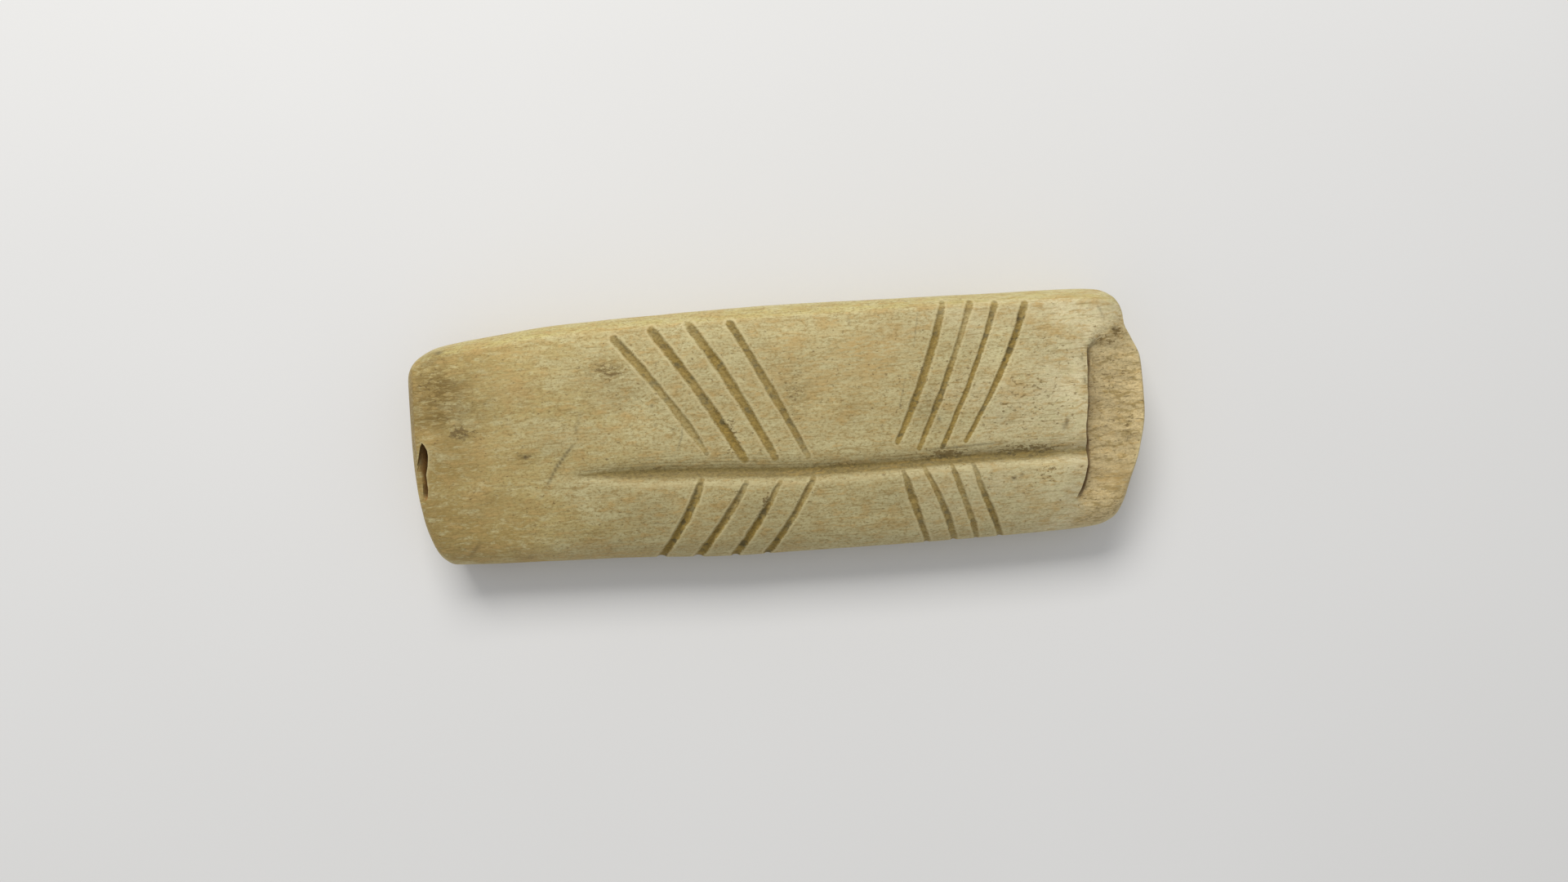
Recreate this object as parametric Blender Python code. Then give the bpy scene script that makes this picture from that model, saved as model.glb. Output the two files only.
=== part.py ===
"""A decorated bone: a flat-backed bar carved from one piece of bone.

The face carries a long tapering groove between four sets of four incised strokes. The right end is stepped
down to a rounded tongue, and the left end holds a narrow slot whose front wall is chipped away.
The length runs along X, the width along Y, and the bar lies on its flat back at Z = 0.
"""

import math
from collections import namedtuple

import bmesh
import bpy
import numpy as np
from mathutils import Vector

# Driving dimensions, in metres
LENGTH = 0.0748
WIDTH = 0.0257
THICKNESS = 0.0086

# How the section is rounded: the band along the upper edge, the flank down to the lower edge, and the back
BAND_WIDTH = 0.0018
FLANK_WIDTH = 0.0086
FACE_CROWN = 0.0009
UNDER_ROUND = 0.0015
UNDER_SQUARENESS = 2.6
BAND_SQUARENESS = 1.5
FLANK_SQUARENESS = 2.0
UPPER_WAIST = 0.51
LOWER_WAIST = 0.40
END_WAIST = 0.60

# How both ends are rounded, over the face and over the back
END_ROUND = 0.0014
END_SQUARENESS = 1.25
END_UNDER_ROUND = 0.0009
END_BLEND = 0.0050
END_FLATNESS = 0.10

# Plan outline, as (share of the half length, share of the half width)
UPPER_EDGE = (
    (-1.000, 0.500), (-0.995, 0.655), (-0.969, 0.768), (-0.911, 0.857), (-0.772, 0.912),
    (-0.546, 0.974), (-0.030, 1.000), (0.490, 0.975), (0.848, 0.951), (0.893, 0.935),
    (0.930, 0.886), (0.944, 0.814), (0.953, 0.681), (0.959, 0.615), (0.980, 0.480),
    (0.996, 0.346), (1.000, 0.215),
)
LOWER_EDGE = (
    (-1.000, -0.140), (-0.995, -0.275), (-0.976, -0.537), (-0.941, -0.845), (-0.912, -0.900),
    (-0.829, -0.918), (-0.465, -0.947), (-0.080, -0.997), (0.309, -1.000), (0.765, -0.981),
    (0.857, -0.962), (0.902, -0.900), (0.921, -0.814), (0.948, -0.600), (0.981, -0.306),
    (0.998, -0.100), (1.000, 0.083),
)

# Groove: its line in plan, as shares like the outline, then its sizes
GROOVE_LINE = (
    (-0.560, -0.214), (-0.210, -0.268), (0.093, -0.318),
    (0.310, -0.319), (0.527, -0.305), (0.860, -0.318),
)
GROOVE_WIDTH = 0.0024
GROOVE_DEPTH = 0.0009
GROOVE_LEAD_IN = 0.0160
GROOVE_START = 0.05

# Incised strokes: their depth, the share of it left at a faded end, and the share of a stroke that fades
STROKE_DEPTH = 0.00042
STROKE_START = 0.25
STROKE_LEAD_IN = 0.14

# Step at the right end
TONGUE_LENGTH = 0.0065
STEP_DEPTH = 0.00125
STEP_SLANT = 0.0006
STEP_HOOK = 0.0015
HOOK_BEND = 1.8
STEP_TOP = 0.46
STEP_GROOVE = -0.33
STEP_BOTTOM = -0.72
CREASE_RISE = 0.0024
CREASE_SLOPE = 0.0016
FLOOR_FALL = 0.0004

# Slot in the left end, and the chip out of its front wall
SLOT_WIDTH = 0.0057
SLOT_HEIGHT = 0.0021
SLOT_LENGTH = 0.0100
SLOT_PLACE = -0.128
SLOT_COVER = 0.0012
SLOT_TAPER = 0.70
SLOT_ROUND = 0.35
CHIP_REACH = 0.0020
CHIP_SPREAD = 0.0001
CHIP_DEPTH = 0.60
CHIP_ROUND = 0.25

# How finely the faces are drawn
STATIONS = 60
BAND_STEPS = 4
FACE_STEPS = 5
FLANK_STEPS = 7
SIDE_STEPS = 4
BACK_STEPS = 3
STROKE_POINTS = 9
STROKE_SIDES = 8
GROOVE_POINTS = 18
GROOVE_SIDES = 20
HOOK_POINTS = 4
ROUNDING_STEPS = 3
SHARP_ANGLE = math.radians(35)

# How far the cutters reach past the bone, and how near two points must lie to be made one
CLEAR = 0.0010
WELD = 1e-7

# Bone: a warm cream tan with a soft sheen
BONE_COLOUR = (0.47, 0.37, 0.19, 1.0)
BONE_ROUGHNESS = 0.55

HALF_LENGTH = LENGTH / 2
HALF_WIDTH = WIDTH / 2
WALL_X = HALF_LENGTH - TONGUE_LENGTH
NORMAL_REACH = BAND_WIDTH / 50

StrokeSet = namedtuple(
    "StrokeSet",
    "name outer_x outer_pitch outer_slips outer_y inner_x inner_pitch inner_slips inner_y bows widths",
)

# Places and pitches along are shares of the half length, and places across are shares of the half width. The
# slips are the small errors of the carver's hand. Bows and widths are in metres.
STROKE_SETS = (
    StrokeSet(
        "left_upper",
        outer_x=-0.424, outer_pitch=0.103, outer_slips=(0, 0, 0, 0),
        outer_y=(0.81, 0.85, 0.86, 0.86),
        inner_x=-0.193, inner_pitch=0.089, inner_slips=(0, 0.012, 0.005, 0),
        inner_y=(-0.14, -0.20, -0.21, -0.22),
        bows=(0.00035, 0.00045, 0.00045, 0.00040),
        widths=(0.00070, 0.00092, 0.00085, 0.00070),
    ),
    StrokeSet(
        "right_upper",
        outer_x=0.464, outer_pitch=0.0715, outer_slips=(0, 0, -0.008, 0),
        outer_y=(0.88, 0.86, 0.85, 0.85),
        inner_x=0.312, inner_pitch=0.0605, inner_slips=(0, -0.009, -0.002, 0),
        inner_y=(-0.16, -0.22, -0.22, -0.19),
        bows=(0.00015, 0.00022, 0.00035, 0.00045),
        widths=(0.00070, 0.00065, 0.00065, 0.00060),
    ),
    StrokeSet(
        "left_lower",
        outer_x=-0.355, outer_pitch=0.099, outer_slips=(0, 0.003, 0.009, 0),
        outer_y=(-0.95, -0.96, -0.97, -0.97),
        inner_x=-0.218, inner_pitch=0.098, inner_slips=(0, 0.019, 0.011, 0),
        inner_y=(-0.37, -0.41, -0.42, -0.41),
        bows=(0.00060, 0.00035, 0.00035, 0.00035),
        widths=(0.00070, 0.00060, 0.00065, 0.00060),
    ),
    StrokeSet(
        "right_lower",
        outer_x=0.393, outer_pitch=0.0675, outer_slips=(0, 0.007, 0.004, 0),
        outer_y=(-0.97, -0.97, -0.97, -0.97),
        inner_x=0.324, inner_pitch=0.0615, inner_slips=(0, -0.011, 0.008, 0),
        inner_y=(-0.41, -0.37, -0.38, -0.38),
        bows=(-0.00013, 0.00020, -0.00005, -0.00020),
        widths=(0.00060, 0.00060, 0.00055, 0.00055),
    ),
)


def clear_scene():
    for obj in list(bpy.data.objects):
        bpy.data.objects.remove(obj, do_unlink=True)


def new_collection(name):
    collection = bpy.data.collections.new(name)
    bpy.context.scene.collection.children.link(collection)
    return collection


def bone_material():
    material = bpy.data.materials.new("bone")
    material.use_nodes = True
    shader = material.node_tree.nodes["Principled BSDF"]
    shader.inputs["Base Color"].default_value = BONE_COLOUR
    shader.inputs["Roughness"].default_value = BONE_ROUGHNESS
    shader.inputs["Metallic"].default_value = 0.0
    return material


def smooth_curve(points, at):
    """Value at a place on the smooth curve through (place, value) points, which never overshoots them."""
    places, values = np.array(points, float).T
    steps = np.diff(places)
    slopes = np.diff(values) / steps
    before, after = slopes[:-1], slopes[1:]
    same_way = before * after > 0
    total = np.where(same_way, before + after, 1.0)
    middle = np.where(same_way, 2 * before * after / total, 0.0)
    tangents = np.concatenate(([slopes[0]], middle, [slopes[-1]]))
    index = np.clip(np.searchsorted(places, at) - 1, 0, len(steps) - 1)
    step = steps[index]
    t = np.clip((at - places[index]) / step, 0.0, 1.0)
    return (
        values[index] * (1 + 2 * t) * (1 - t) ** 2
        + values[index + 1] * (3 - 2 * t) * t**2
        + tangents[index] * step * t * (1 - t) ** 2
        - tangents[index + 1] * step * t**2 * (1 - t)
    )


def edge(outline, x):
    """Reach of an outline at x, read over the arc from end to end, where the rounded ends become gentle."""
    arc_points = [(math.asin(place), value) for place, value in outline]
    return HALF_WIDTH * smooth_curve(arc_points, math.asin(max(-1.0, min(1.0, x / HALF_LENGTH))))


def quarter_round(t, squareness=2.0):
    """Height of a quarter of a superellipse, from 0 at t = 0 to 1 at t = 1. Squareness 2 is an ellipse."""
    return max(0.0, 1 - (1 - min(t, 1.0)) ** squareness) ** (1 / squareness)


def from_end(x):
    """Distance along the bar from the nearer end."""
    return HALF_LENGTH - abs(x)


def end_height(x, round_length, squareness=2.0):
    """Share of the full height at x. The ends are rounded over, down to a small flat."""
    rounded = quarter_round(from_end(x) / round_length, squareness)
    return END_FLATNESS + (1 - END_FLATNESS) * rounded


def waist_height(x, across):
    """Height of the widest level, from the upper side (across 0) to the lower side (across 1)."""
    middle = UPPER_WAIST + (LOWER_WAIST - UPPER_WAIST) * across
    blend = min(from_end(x) / END_BLEND, 1.0)
    return THICKNESS * (END_WAIST + (middle - END_WAIST) * blend)


def top_height(x, across):
    """Height of the face and of its rounded sides, before any carving."""
    crown = FACE_CROWN * max(0.0, 1 - 2 * across) ** 2
    full = THICKNESS - crown
    waist = waist_height(x, across)
    band_fall = 1 - quarter_round(across * WIDTH / BAND_WIDTH, BAND_SQUARENESS)
    flank_fall = 1 - quarter_round((1 - across) * WIDTH / FLANK_WIDTH, FLANK_SQUARENESS)
    height = full - (full - waist) * band_fall - (full - waist) * flank_fall
    return waist + (height - waist) * end_height(x, END_ROUND, END_SQUARENESS)


def surface_point(x, y):
    """Point of the uncarved face over a place in plan."""
    upper, lower = edge(UPPER_EDGE, x), edge(LOWER_EDGE, x)
    return Vector((x, y, top_height(x, (upper - y) / (upper - lower))))


def surface_normal(x, y):
    along = surface_point(x + NORMAL_REACH, y) - surface_point(x - NORMAL_REACH, y)
    across = surface_point(x, y + NORMAL_REACH) - surface_point(x, y - NORMAL_REACH)
    return along.cross(across).normalized()


def shares_across():
    """Places of a section's points over the face, as shares of the width from its upper edge."""
    band, flank = BAND_WIDTH / WIDTH, FLANK_WIDTH / WIDTH
    shares = [band * (1 - math.cos(math.pi / 2 * k / BAND_STEPS)) for k in range(BAND_STEPS)]
    shares += [band + (1 - flank - band) * k / FACE_STEPS for k in range(FACE_STEPS)]
    shares += [1 - flank * (1 - math.sin(math.pi / 2 * k / FLANK_STEPS)) for k in range(FLANK_STEPS + 1)]
    return shares


def under_side(x, across, edge_y, inward):
    """Points down one side, from the widest level to the flat back."""
    waist = waist_height(x, across)
    inset = UNDER_ROUND * inward
    points = []
    for k in range(1, SIDE_STEPS + 1):
        angle = math.pi / 2 * k / SIDE_STEPS
        reach = 1 - math.cos(angle) ** (2 / UNDER_SQUARENESS)
        drop = math.sin(angle) ** (2 / UNDER_SQUARENESS) * end_height(x, END_UNDER_ROUND)
        points.append((edge_y + inset * reach, waist * (1 - drop)))
    return points


def section(x):
    """Ring of points round the bar at x: the face, the lower side, the back and the upper side."""
    upper, lower = edge(UPPER_EDGE, x), edge(LOWER_EDGE, x)
    width = upper - lower
    ring = [(upper - width * across, top_height(x, across)) for across in shares_across()]
    slimness = width / WIDTH
    lower_side = under_side(x, 1.0, lower, slimness)
    upper_side = under_side(x, 0.0, upper, -slimness)
    ring += lower_side
    start, end = lower_side[-1], upper_side[-1]
    for k in range(1, BACK_STEPS):
        share = k / BACK_STEPS
        ring.append((start[0] + (end[0] - start[0]) * share, start[1] + (end[1] - start[1]) * share))
    ring += reversed(upper_side)
    return [Vector((x, y, z)) for y, z in ring]


def loft(name, rings, collection):
    """One closed body through rings of points, with a flat cap on each end ring."""
    bm = bmesh.new()
    rows = [[bm.verts.new(point) for point in ring] for ring in rings]
    for row, following in zip(rows, rows[1:]):
        for i in range(len(row)):
            j = (i + 1) % len(row)
            bm.faces.new((row[i], row[j], following[j], following[i]))
    bm.faces.new(rows[0])
    bm.faces.new(rows[-1])
    bmesh.ops.recalc_face_normals(bm, faces=bm.faces)
    return finished(name, bm, collection)


def finished(name, bm, collection):
    """Turns a worked mesh into an object of the collection."""
    mesh = bpy.data.meshes.new(name)
    bm.to_mesh(mesh)
    bm.free()
    obj = bpy.data.objects.new(name, mesh)
    collection.objects.link(obj)
    return obj


def stations():
    """Places of the sections, close together towards the rounded ends."""
    angles = [math.pi * (k / (STATIONS - 1) - 0.5) for k in range(STATIONS)]
    return [HALF_LENGTH * math.sin(angle) for angle in angles]


def bone_body(collection):
    body = loft("decorated_bone", [section(x) for x in stations()], collection)
    body.data.materials.append(bone_material())
    body.data.shade_smooth()
    body.data.set_sharp_from_angle(angle=SHARP_ANGLE)
    return body


def carving_tube(name, centres, radii, sides, cutters):
    """A round gouge's sweep as a closed mesh: a curve whose radius changes from point to point."""
    curve = bpy.data.curves.new(name, "CURVE")
    curve.dimensions = "3D"
    curve.bevel_depth = max(radii)
    curve.bevel_resolution = sides // 2 - 2
    curve.use_fill_caps = True
    spline = curve.splines.new("POLY")
    spline.points.add(len(centres) - 1)
    for point, centre, radius in zip(spline.points, centres, radii):
        point.co = (*centre, 1.0)
        point.radius = radius / max(radii)
    sweep = bpy.data.objects.new(name + "_sweep", curve)
    cutters.objects.link(sweep)
    bpy.context.view_layer.update()
    mesh = bpy.data.meshes.new_from_object(sweep.evaluated_get(bpy.context.evaluated_depsgraph_get()))
    place = sweep.matrix_world.copy()
    bpy.data.objects.remove(sweep, do_unlink=True)
    bm = bmesh.new()
    bm.from_mesh(mesh)
    bpy.data.meshes.remove(mesh)
    bmesh.ops.remove_doubles(bm, verts=bm.verts, dist=WELD)
    bmesh.ops.recalc_face_normals(bm, faces=bm.faces)
    tube = finished(name, bm, cutters)
    tube.matrix_world = place
    return tube


def gouge_radius(width, depth):
    """Radius of the round tool that leaves a cut of this width and depth."""
    return (width**2 / 4 + depth**2) / (2 * depth)


def lead_in(distance, length):
    """Rises smoothly from 0 to 1 over a length."""
    share = max(0.0, min(distance / length, 1.0))
    return math.sin(share * math.pi / 2)


def groove_cutter(cutters):
    """The groove starts as a point and widens as it deepens, then runs out into the step."""
    start, end = GROOVE_LINE[0][0] * HALF_LENGTH, WALL_X + CLEAR
    centres, radii = [], []
    for k in range(GROOVE_POINTS):
        x = start + (end - start) * k / (GROOVE_POINTS - 1)
        y = HALF_WIDTH * float(smooth_curve(GROOVE_LINE, x / HALF_LENGTH))
        share = GROOVE_START + (1 - GROOVE_START) * lead_in(x - start, GROOVE_LEAD_IN)
        depth = GROOVE_DEPTH * share
        radius = gouge_radius(GROOVE_WIDTH * math.sqrt(share), depth)
        centres.append(surface_point(x, y) + surface_normal(x, y) * (radius - depth))
        radii.append(radius)
    return carving_tube("groove", centres, radii, GROOVE_SIDES, cutters)


def stroke_path(strokes, number):
    """Points in plan along one stroke, from its outer end to its end beside the groove."""
    outer_x = strokes.outer_x + strokes.outer_pitch * number + strokes.outer_slips[number]
    inner_x = strokes.inner_x + strokes.inner_pitch * number + strokes.inner_slips[number]
    for k in range(STROKE_POINTS):
        t = k / (STROKE_POINTS - 1)
        x = HALF_LENGTH * (outer_x + (inner_x - outer_x) * t) + strokes.bows[number] * 4 * t * (1 - t)
        y = HALF_WIDTH * (strokes.outer_y[number] + (strokes.inner_y[number] - strokes.outer_y[number]) * t)
        yield t, x, y


def stroke_cutter(strokes, number, cutters):
    """Upper strokes fade in at both ends; lower strokes run over the lower edge at full depth."""
    over_edge = strokes.outer_y[number] < 0
    width = strokes.widths[number]
    centres, radii = [], []
    for t, x, y in stroke_path(strokes, number):
        fade = lead_in(1 - t, STROKE_LEAD_IN)
        if not over_edge:
            fade *= lead_in(t, STROKE_LEAD_IN)
        share = STROKE_START + (1 - STROKE_START) * fade
        depth = STROKE_DEPTH * share
        radius = gouge_radius(width * math.sqrt(share), depth)
        centres.append(surface_point(x, y) + surface_normal(x, y) * (radius - depth))
        radii.append(radius)
    return carving_tube(f"{strokes.name}_stroke_{number + 1}", centres, radii, STROKE_SIDES, cutters)


def step_outline(lean):
    """Plan of what is cut away over the tongue. The wall slants and hooks back at its lower end. The lean
    moves the crease along its upper side outwards."""
    top, groove, bottom = (share * HALF_WIDTH for share in (STEP_TOP, STEP_GROOVE, STEP_BOTTOM))
    beyond = HALF_LENGTH + CLEAR
    crease_end = top + CREASE_RISE * (beyond - WALL_X) / TONGUE_LENGTH
    outline = [(beyond, crease_end + lean), (WALL_X + STEP_SLANT, top + lean), (WALL_X, groove)]
    for k in range(1, HOOK_POINTS + 1):
        share = k / HOOK_POINTS
        outline.append((WALL_X - STEP_HOOK * share**HOOK_BEND, groove + (bottom - groove) * share))
    outline.append((outline[-1][0] - STEP_HOOK, -HALF_WIDTH - CLEAR))
    outline.append((beyond, -HALF_WIDTH - CLEAR))
    return outline


def step_cutter(cutters):
    """A block over the tongue. Its floor falls to the tip, and its upper side leans out as a soft crease."""
    floor = THICKNESS - STEP_DEPTH
    height = STEP_DEPTH + CLEAR
    fall = FLOOR_FALL / TONGUE_LENGTH
    lean = CREASE_SLOPE * height / STEP_DEPTH
    floor_ring = [Vector((x, y, floor - fall * (x - WALL_X))) for x, y in step_outline(0.0)]
    upper_ring = [Vector((x, y, floor + height)) for x, y in step_outline(lean)]
    return loft("step", [floor_ring, upper_ring], cutters)


def rounded_block(name, low, high, rounding, cutters):
    """A box between two corners with its edges rounded."""
    bm = bmesh.new()
    bmesh.ops.create_cube(bm, size=1.0)
    size = Vector(high) - Vector(low)
    bmesh.ops.scale(bm, verts=bm.verts, vec=size)
    bmesh.ops.translate(bm, verts=bm.verts, vec=(Vector(low) + Vector(high)) / 2)
    bmesh.ops.bevel(
        bm,
        geom=bm.edges[:],
        offset=rounding,
        offset_type="OFFSET",
        segments=ROUNDING_STEPS,
        profile=0.5,
        affect="EDGES",
        material=-1,
    )
    bmesh.ops.recalc_face_normals(bm, faces=bm.faces)
    return finished(name, bm, cutters)


def slot_place():
    """Middle of the slot across the bar, and the heights of its floor and its roof."""
    roof = THICKNESS - SLOT_COVER
    return SLOT_PLACE * HALF_WIDTH, roof - SLOT_HEIGHT, roof


def slot_cutter(cutters):
    """The slot runs in along the bar and narrows towards its bottom."""
    middle, floor, roof = slot_place()
    low = (-HALF_LENGTH - CLEAR, middle - SLOT_WIDTH / 2, floor)
    high = (-HALF_LENGTH + SLOT_LENGTH, middle + SLOT_WIDTH / 2, roof)
    slot = rounded_block("slot", low, high, SLOT_HEIGHT * SLOT_ROUND, cutters)
    heart = Vector((0, middle, (floor + roof) / 2))
    for vert in slot.data.vertices:
        inside = (vert.co.x - low[0]) / (high[0] - low[0])
        share = 1 - (1 - SLOT_TAPER) * inside
        vert.co.y = heart.y + (vert.co.y - heart.y) * share
        vert.co.z = heart.z + (vert.co.z - heart.z) * share
    return slot


def chip_cutter(cutters):
    """The wall over the slot's mouth is broken back, so the slot shows from above."""
    middle, _, roof = slot_place()
    half = SLOT_WIDTH / 2 + CHIP_SPREAD
    low = (-HALF_LENGTH - CLEAR, middle - half, roof - SLOT_HEIGHT * CHIP_DEPTH)
    high = (-HALF_LENGTH + CHIP_REACH, middle + half, THICKNESS + CLEAR)
    return rounded_block("chip", low, high, SLOT_HEIGHT * CHIP_ROUND, cutters)


def cut(body, cutter):
    cutter.hide_render = True
    cutter.display_type = "WIRE"
    boolean = body.modifiers.new("cut_" + cutter.name, "BOOLEAN")
    boolean.operation = "DIFFERENCE"
    boolean.solver = "EXACT"
    boolean.object = cutter


def main():
    clear_scene()
    parts = new_collection("decorated_bone")
    cutters = new_collection("cutters")
    body = bone_body(parts)
    cut(body, step_cutter(cutters))
    cut(body, groove_cutter(cutters))
    for strokes in STROKE_SETS:
        for number in range(len(strokes.widths)):
            cut(body, stroke_cutter(strokes, number, cutters))
    cut(body, slot_cutter(cutters))
    cut(body, chip_cutter(cutters))


main()
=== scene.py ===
"""The looks of a decorated bone bar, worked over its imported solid.

The bar is modelled once more as one fine skin. A drum is cut into fine rings, which are moved onto the
bar's sections, and the groove, the strokes, the step and the wear are pressed into them. The slot and the
chip over its mouth are cut last. Lengths are in millimetres until the skin is finished.
"""

import math

import bmesh
import bpy
import numpy as np
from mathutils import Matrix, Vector


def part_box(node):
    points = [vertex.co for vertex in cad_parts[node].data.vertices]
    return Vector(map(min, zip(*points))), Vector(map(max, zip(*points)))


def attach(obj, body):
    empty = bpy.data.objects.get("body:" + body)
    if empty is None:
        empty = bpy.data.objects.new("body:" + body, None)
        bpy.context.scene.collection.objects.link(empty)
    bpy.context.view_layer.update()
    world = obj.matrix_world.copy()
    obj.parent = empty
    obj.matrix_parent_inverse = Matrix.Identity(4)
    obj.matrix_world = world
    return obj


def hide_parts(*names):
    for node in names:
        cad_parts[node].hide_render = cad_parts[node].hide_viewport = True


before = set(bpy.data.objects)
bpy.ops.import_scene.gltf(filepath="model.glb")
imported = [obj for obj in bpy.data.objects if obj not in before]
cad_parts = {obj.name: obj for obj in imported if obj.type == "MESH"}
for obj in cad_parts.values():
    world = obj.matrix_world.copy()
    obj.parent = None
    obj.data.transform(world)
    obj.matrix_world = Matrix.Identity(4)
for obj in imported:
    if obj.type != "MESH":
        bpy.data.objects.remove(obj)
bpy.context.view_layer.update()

MM = 0.001
BAR = "decorated_bone"
low_corner, high_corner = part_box(BAR)
HALF_LENGTH = (high_corner.x - low_corner.x) / 2 / MM
HALF_WIDTH = (high_corner.y - low_corner.y) / 2 / MM
WIDTH = 2 * HALF_WIDTH
THICKNESS = high_corner.z / MM

# Section of the bar
BAND_WIDTH = 1.8
FLANK_WIDTH = 8.6
FACE_CROWN = 0.9
UNDER_ROUND = 1.5
UNDER_SQUARENESS = 2.6
BAND_SQUARENESS = 1.5
FLANK_SQUARENESS = 2.0
UPPER_WAIST = 0.51
LOWER_WAIST = 0.4
END_WAIST = 0.6
END_ROUND = 1.4
END_SQUARENESS = 1.25
END_UNDER_ROUND = 0.9
END_BLEND = 5.0
END_FLATNESS = 0.1

# Plan outline, as (share of the half length, share of the half width)
UPPER_EDGE = (
    (-1, 0.5), (-0.995, 0.655), (-0.969, 0.768), (-0.911, 0.857), (-0.772, 0.912),
    (-0.546, 0.974), (-0.03, 1), (0.49, 0.975), (0.848, 0.951), (0.893, 0.935),
    (0.928, 0.886), (0.94, 0.814), (0.948, 0.681), (0.956, 0.615), (0.978, 0.48),
    (0.996, 0.346), (1, 0.215),
)
LOWER_EDGE = (
    (-1, -0.14), (-0.995, -0.275), (-0.976, -0.537), (-0.941, -0.845), (-0.912, -0.9),
    (-0.829, -0.918), (-0.465, -0.947), (-0.08, -0.997), (0.309, -1), (0.765, -0.981),
    (0.857, -0.962), (0.902, -0.9), (0.921, -0.814), (0.948, -0.6), (0.981, -0.306),
    (0.998, -0.1), (1, 0.083),
)

# Groove: its line in plan as shares, and its cross section as (place across, share of the depth)
GROOVE_LINE = (
    (-0.56, -0.232), (-0.21, -0.274), (0.093, -0.326),
    (0.31, -0.33), (0.527, -0.319), (0.86, -0.334),
)
GROOVE_SECTION = (
    (-1.9, 0), (-1.5, 0.06), (-1.15, 0.22), (-0.85, 0.45), (-0.55, 0.74), (-0.3, 0.95),
    (-0.12, 1), (0.12, 0.92), (0.38, 0.7), (0.7, 0.44), (1.05, 0.25), (1.5, 0.1), (2.4, 0),
)
GROOVE_DIRT = (
    (-1.3, 0), (-1.05, 0.12), (-0.85, 0.34), (-0.65, 0.62), (-0.45, 0.86), (-0.25, 1),
    (0.02, 0.84), (0.22, 0.44), (0.45, 0.3), (0.8, 0.22), (1.2, 0.15), (1.8, 0.07), (2.4, 0),
)
GROOVE_DEPTH = 0.7
GROOVE_LEAD_IN = 9.0

# How wide the groove is, and how dirty, at places along the bar in millimetres
GROOVE_WIDTHS = (
    (-22, 0.5), (-18, 0.72), (-13, 1.05), (-4, 1.08), (6, 0.98), (14, 0.9), (31, 0.95),
)
GROOVE_FILL = (
    (-22, 0), (-19, 0.7), (-15, 0.95), (12, 1), (25.5, 0.92), (28.5, 0.6), (31, 0.8),
)

# Strokes: depth at the usual width, the share of the length over which they fade, and how unsteady they are
STROKE_DEPTH = 0.28
USUAL_WIDTH = 0.65
HALF_STROKE = 0.63
STROKE_FADE = 0.07
LINE_WAVER = 0.025
WIDTH_WAVER = 0.06
DEPTH_WAVER = 0.12
LOWER_STROKE_GAIN = 1.25
STROKE_POINTS = 60

# The four sets of strokes: where the first one starts and how far on the next does, then the same for their
# ends, as shares of the half length. A stroke is (slip of its start, start across, slip of its end, end
# across, bow, widths, dirt), across as shares of the half width, widths and dirt at five places along it
STROKE_SETS = (
    (-0.427, 0.103, -0.195, 0.089, (
        (0.005, 0.79, 0.001, -0.15, 0.36, (0.74, 0.78, 0.66, 0.78, 0.4), (0.6, 0.8, 0.55, 0.55, 0.45)),
        (0.004, 0.833, 0.009, -0.21, 0.28, (0.85, 0.86, 0.76, 0.87, 0.78), (0.7, 0.95, 0.7, 1, 0.9)),
        (0.001, 0.86, 0.001, -0.22, 0.36, (0.8, 0.85, 0.87, 0.72, 0.68), (0.6, 0.95, 0.8, 0.95, 0.75)),
        (0.008, 0.843, 0.001, -0.23, 0.18, (0.74, 0.66, 0.77, 0.62, 0.55), (0.8, 0.8, 0.7, 0.8, 0.5)),
    )),
    (0.466, 0.0715, 0.312, 0.0605, (
        (-0.003, 0.893, 0, -0.17, 0.48, (0.56, 0.7, 0.7, 0.67, 0.48), (0.45, 0.95, 0.85, 0.95, 0.9)),
        (-0.002, 0.872, -0.004, -0.23, 0.28, (0.65, 0.5, 0.55, 0.57, 0.46), (0.6, 0.5, 0.9, 0.9, 0.9)),
        (-0.008, 0.85, -0.002, -0.23, 0.33, (0.66, 0.5, 0.45, 0.48, 0.48), (0.75, 0.9, 0.95, 0.9, 1)),
        (0.001, 0.832, 0, -0.2, 0.5, (0.66, 0.64, 0.57, 0.43, 0.44), (0.75, 1, 0.95, 0.9, 0.95)),
    )),
    (-0.354, 0.099, -0.2135, 0.098, (
        (0, -0.97, -0.001, -0.36, 0.6, (0.72, 0.64, 0.74, 0.74, 0.68), (0.95, 1, 1, 0.9, 0.55)),
        (0.005, -0.98, 0.02, -0.4, 0.35, (0.8, 0.66, 0.63, 0.6, 0.52), (0.95, 1, 0.9, 0.6, 0.45)),
        (0.01, -0.98, 0.011, -0.41, 0.35, (0.74, 0.64, 0.66, 0.54, 0.44), (0.95, 1, 1, 0.6, 0.4)),
        (0.001, -0.98, 0.002, -0.4, 0.35, (0.68, 0.56, 0.55, 0.58, 0.52), (0.95, 0.95, 0.8, 0.65, 0.45)),
    )),
    (0.386, 0.0675, 0.324, 0.0615, (
        (0, -0.98, 0, -0.4, -0.13, (0.6, 0.55, 0.75, 0.68, 0.42), (0.7, 0.7, 0.8, 0.8, 0.5)),
        (0.006, -0.98, -0.009, -0.36, 0.15, (0.62, 0.65, 0.6, 0.5, 0.42), (0.65, 0.75, 0.7, 0.65, 0.45)),
        (0.002, -0.98, 0.006, -0.37, -0.1, (0.5, 0.6, 0.56, 0.6, 0.4), (0.65, 0.7, 0.6, 0.7, 0.6)),
        (-0.001, -0.98, 0, -0.37, -0.2, (0.55, 0.6, 0.62, 0.54, 0.42), (0.7, 0.85, 0.85, 0.55, 0.4)),
    )),
)

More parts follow.
